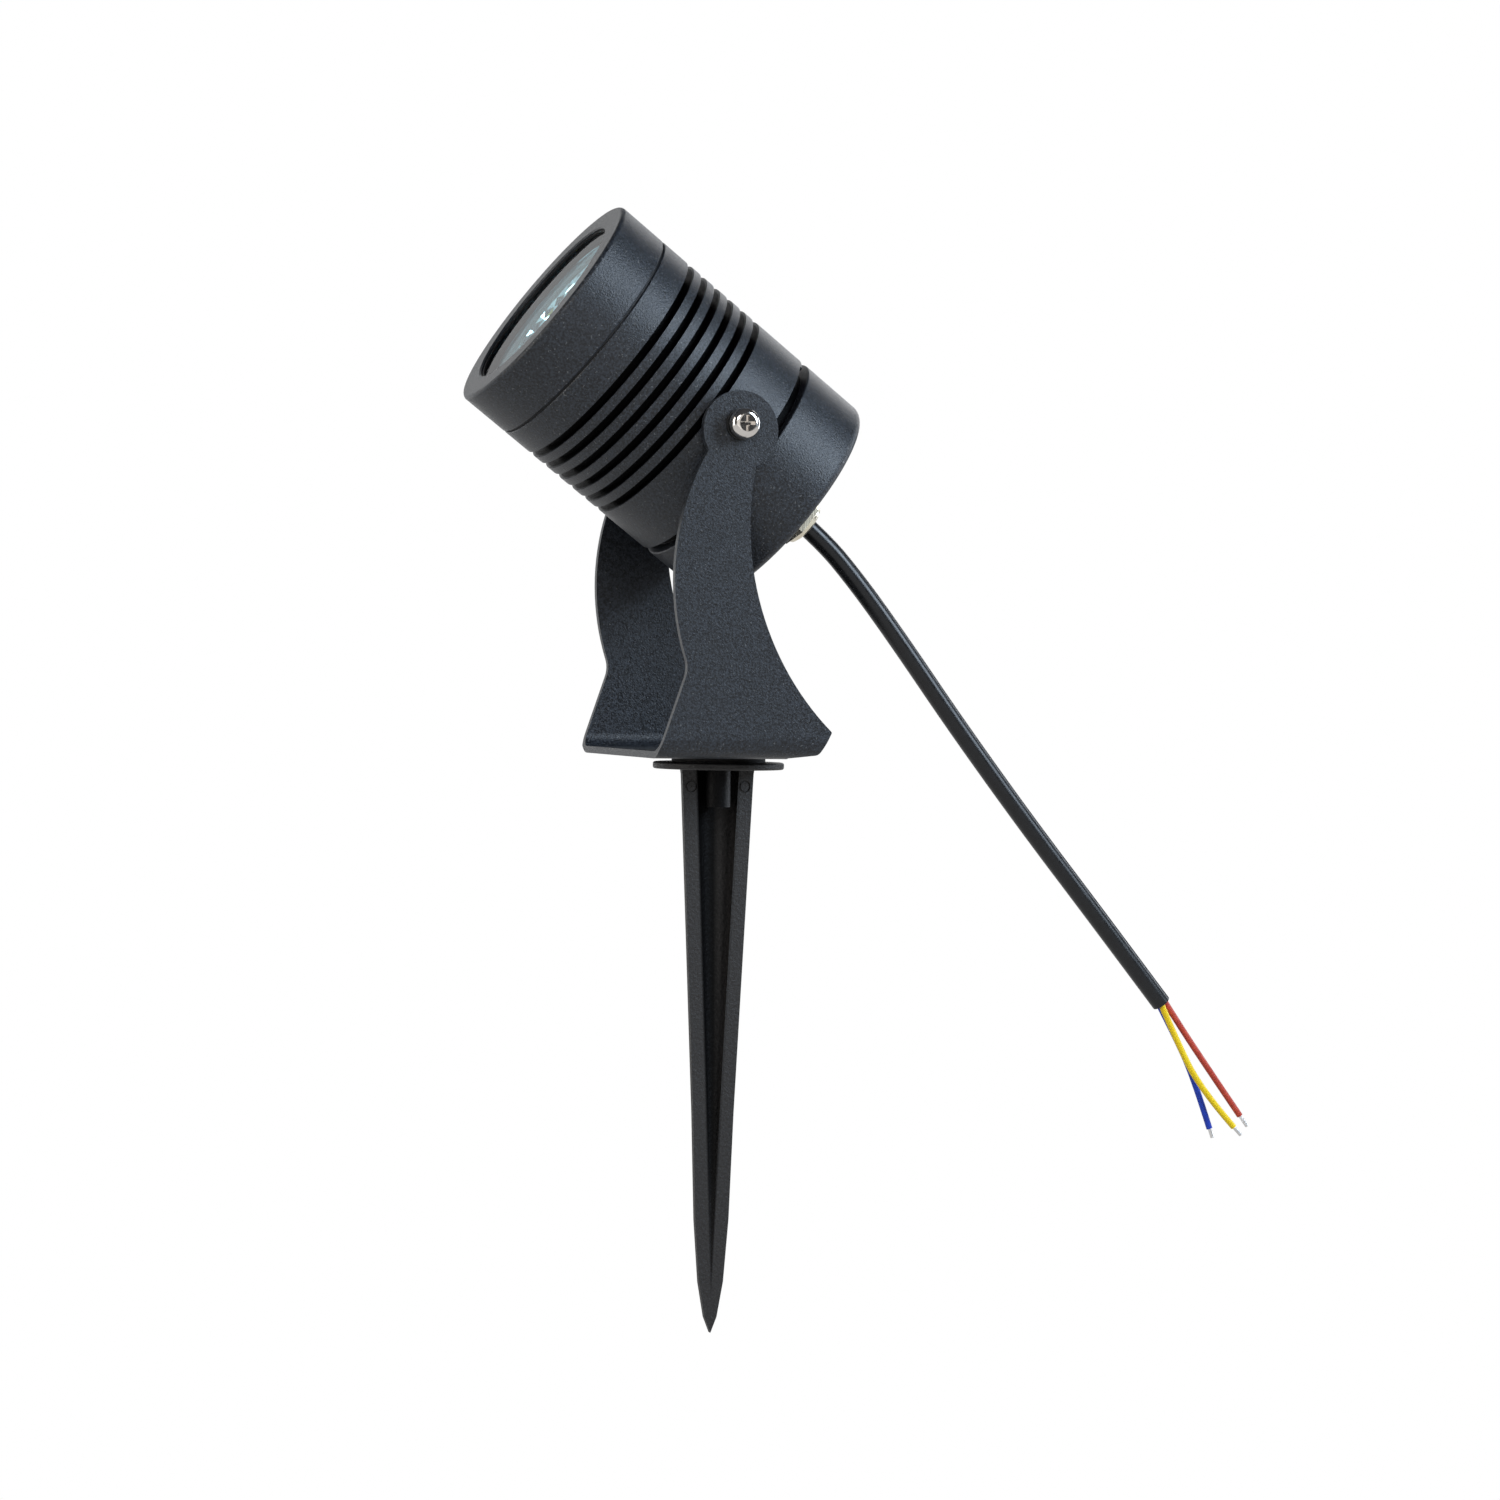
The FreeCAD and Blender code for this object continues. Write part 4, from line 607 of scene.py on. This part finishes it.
def make_lead():
    lead = route_curve("lead_sheath_line", LEAD_ROUTE, LEAD_DIAMETER, "lead_rubber")
    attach(lead, "head")
    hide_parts("lead_sheath")


def make_cores():
    for colour, route in CORE_ROUTES.items():
        core = route_curve(f"core_{colour}_line", route, CORE_DIAMETER, "core_" + colour)
        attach(core, "head")
        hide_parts("lead_core_" + colour)


def reflector_radius(station):
    """Inner radius of the reflector at a station, in mm, from its outline."""
    for (low_r, low), (high_r, high) in zip(REFLECTOR_LINE, REFLECTOR_LINE[1:]):
        if station <= high + 1e-6:
            return low_r + (high_r - low_r) * (station - low) / (high - low)
    return REFLECTOR_LINE[-1][0]


def facet_levels():
    """Stations between the rows of facets, from the bottom to the lip, and the mouth's own."""
    start, end = REFLECTOR_LINE[0][1], REFLECTOR_LINE[-1][1]
    reach = end - REFLECTOR_LIP - start
    return [start + reach * (row / FACET_ROWS) ** FACET_CROWDING for row in range(FACET_ROWS + 1)] + [end]


def reflector_ring(shape, extra, station):
    """Ring of corners at a station, outside the inner outline by an extra, in mm."""
    radius = reflector_radius(station) + extra
    turns = [column * math.tau / FACET_COLUMNS for column in range(FACET_COLUMNS)]
    return [shape.verts.new(lamp_point(radius, station, turn)) for turn in turns]


def add_dish(shape, corners, middle_station, column, chance):
    """Four facets that meet in a hollow near the middle of their corners."""
    station = middle_station + chance.uniform(-DISH_SPREADS["station"], DISH_SPREADS["station"])
    shift = chance.uniform(-DISH_SPREADS["column"], DISH_SPREADS["column"])
    angle = (column + 0.5 + shift) * math.tau / FACET_COLUMNS
    depth = DISH_DEPTH + chance.uniform(-DISH_SPREADS["depth"], DISH_SPREADS["depth"])
    middle = shape.verts.new(lamp_point(reflector_radius(station) + depth, station, angle))
    for first, second in zip(corners, corners[1:] + corners[:1]):
        shape.faces.new((first, second, middle))


def make_reflector():
    """Reflector with rows of dished facets inside and a smooth skin outside."""
    chance = random.Random(4)
    levels = facet_levels()
    shape = bmesh.new()
    inner = [reflector_ring(shape, 0.0, level) for level in levels]
    outer = [reflector_ring(shape, REFLECTOR_WALL, level) for level in levels]
    columns = [(column, (column + 1) % FACET_COLUMNS) for column in range(FACET_COLUMNS)]
    for row in range(len(levels) - 1):
        for column, after in columns:
            corners = [inner[row][column], inner[row][after], inner[row + 1][after], inner[row + 1][column]]
            shell = [outer[row][after], outer[row][column], outer[row + 1][column], outer[row + 1][after]]
            shape.faces.new(shell).smooth = True
            if row == FACET_ROWS:
                shape.faces.new(corners).smooth = True
            else:
                add_dish(shape, corners, (levels[row] + levels[row + 1]) / 2, column, chance)
    for row in (0, -1):
        for column, after in columns:
            shape.faces.new((inner[row][column], inner[row][after], outer[row][after], outer[row][column]))
    bmesh.ops.recalc_face_normals(shape, faces=shape.faces)
    piece = mesh_piece("reflector_facets", shape, MATERIALS["mirror_metal"])
    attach(piece, "head")
    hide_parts("reflector")


def make_collar():
    """Matt ring that lines the reflector's mouth, just behind the glass."""
    (inner, outer), (low, high) = COLLAR_GAPS, COLLAR_STATIONS
    corners = ((inner, low), (inner, high), (outer, high), (outer, low))
    outline = [(reflector_radius(station) - gap, station) for gap, station in corners]
    shape = bmesh.new()
    rings = []
    for column in range(COLLAR_COLUMNS):
        angle = column * math.tau / COLLAR_COLUMNS
        rings.append([shape.verts.new(lamp_point(radius, station, angle)) for radius, station in outline])
    for first, after in zip(rings, rings[1:] + rings[:1]):
        for side in range(len(outline)):
            other = (side + 1) % len(outline)
            face = shape.faces.new((first[side], after[side], after[other], first[other]))
            face.smooth = corners[side][0] == corners[other][0]
    bmesh.ops.recalc_face_normals(shape, faces=shape.faces)
    piece = mesh_piece("reflector_collar", shape, collar_plastic())
    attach(piece, "head")


make_camera()
make_world()
make_lights()
make_floor(CAD_BOX[0].z - FLOOR_DROP)
dress_nodes()
make_coated_pieces()
make_bare_pieces()
make_reflector()
make_collar()
make_lead()
make_cores()
SCENE.view_settings.view_transform = "Standard"
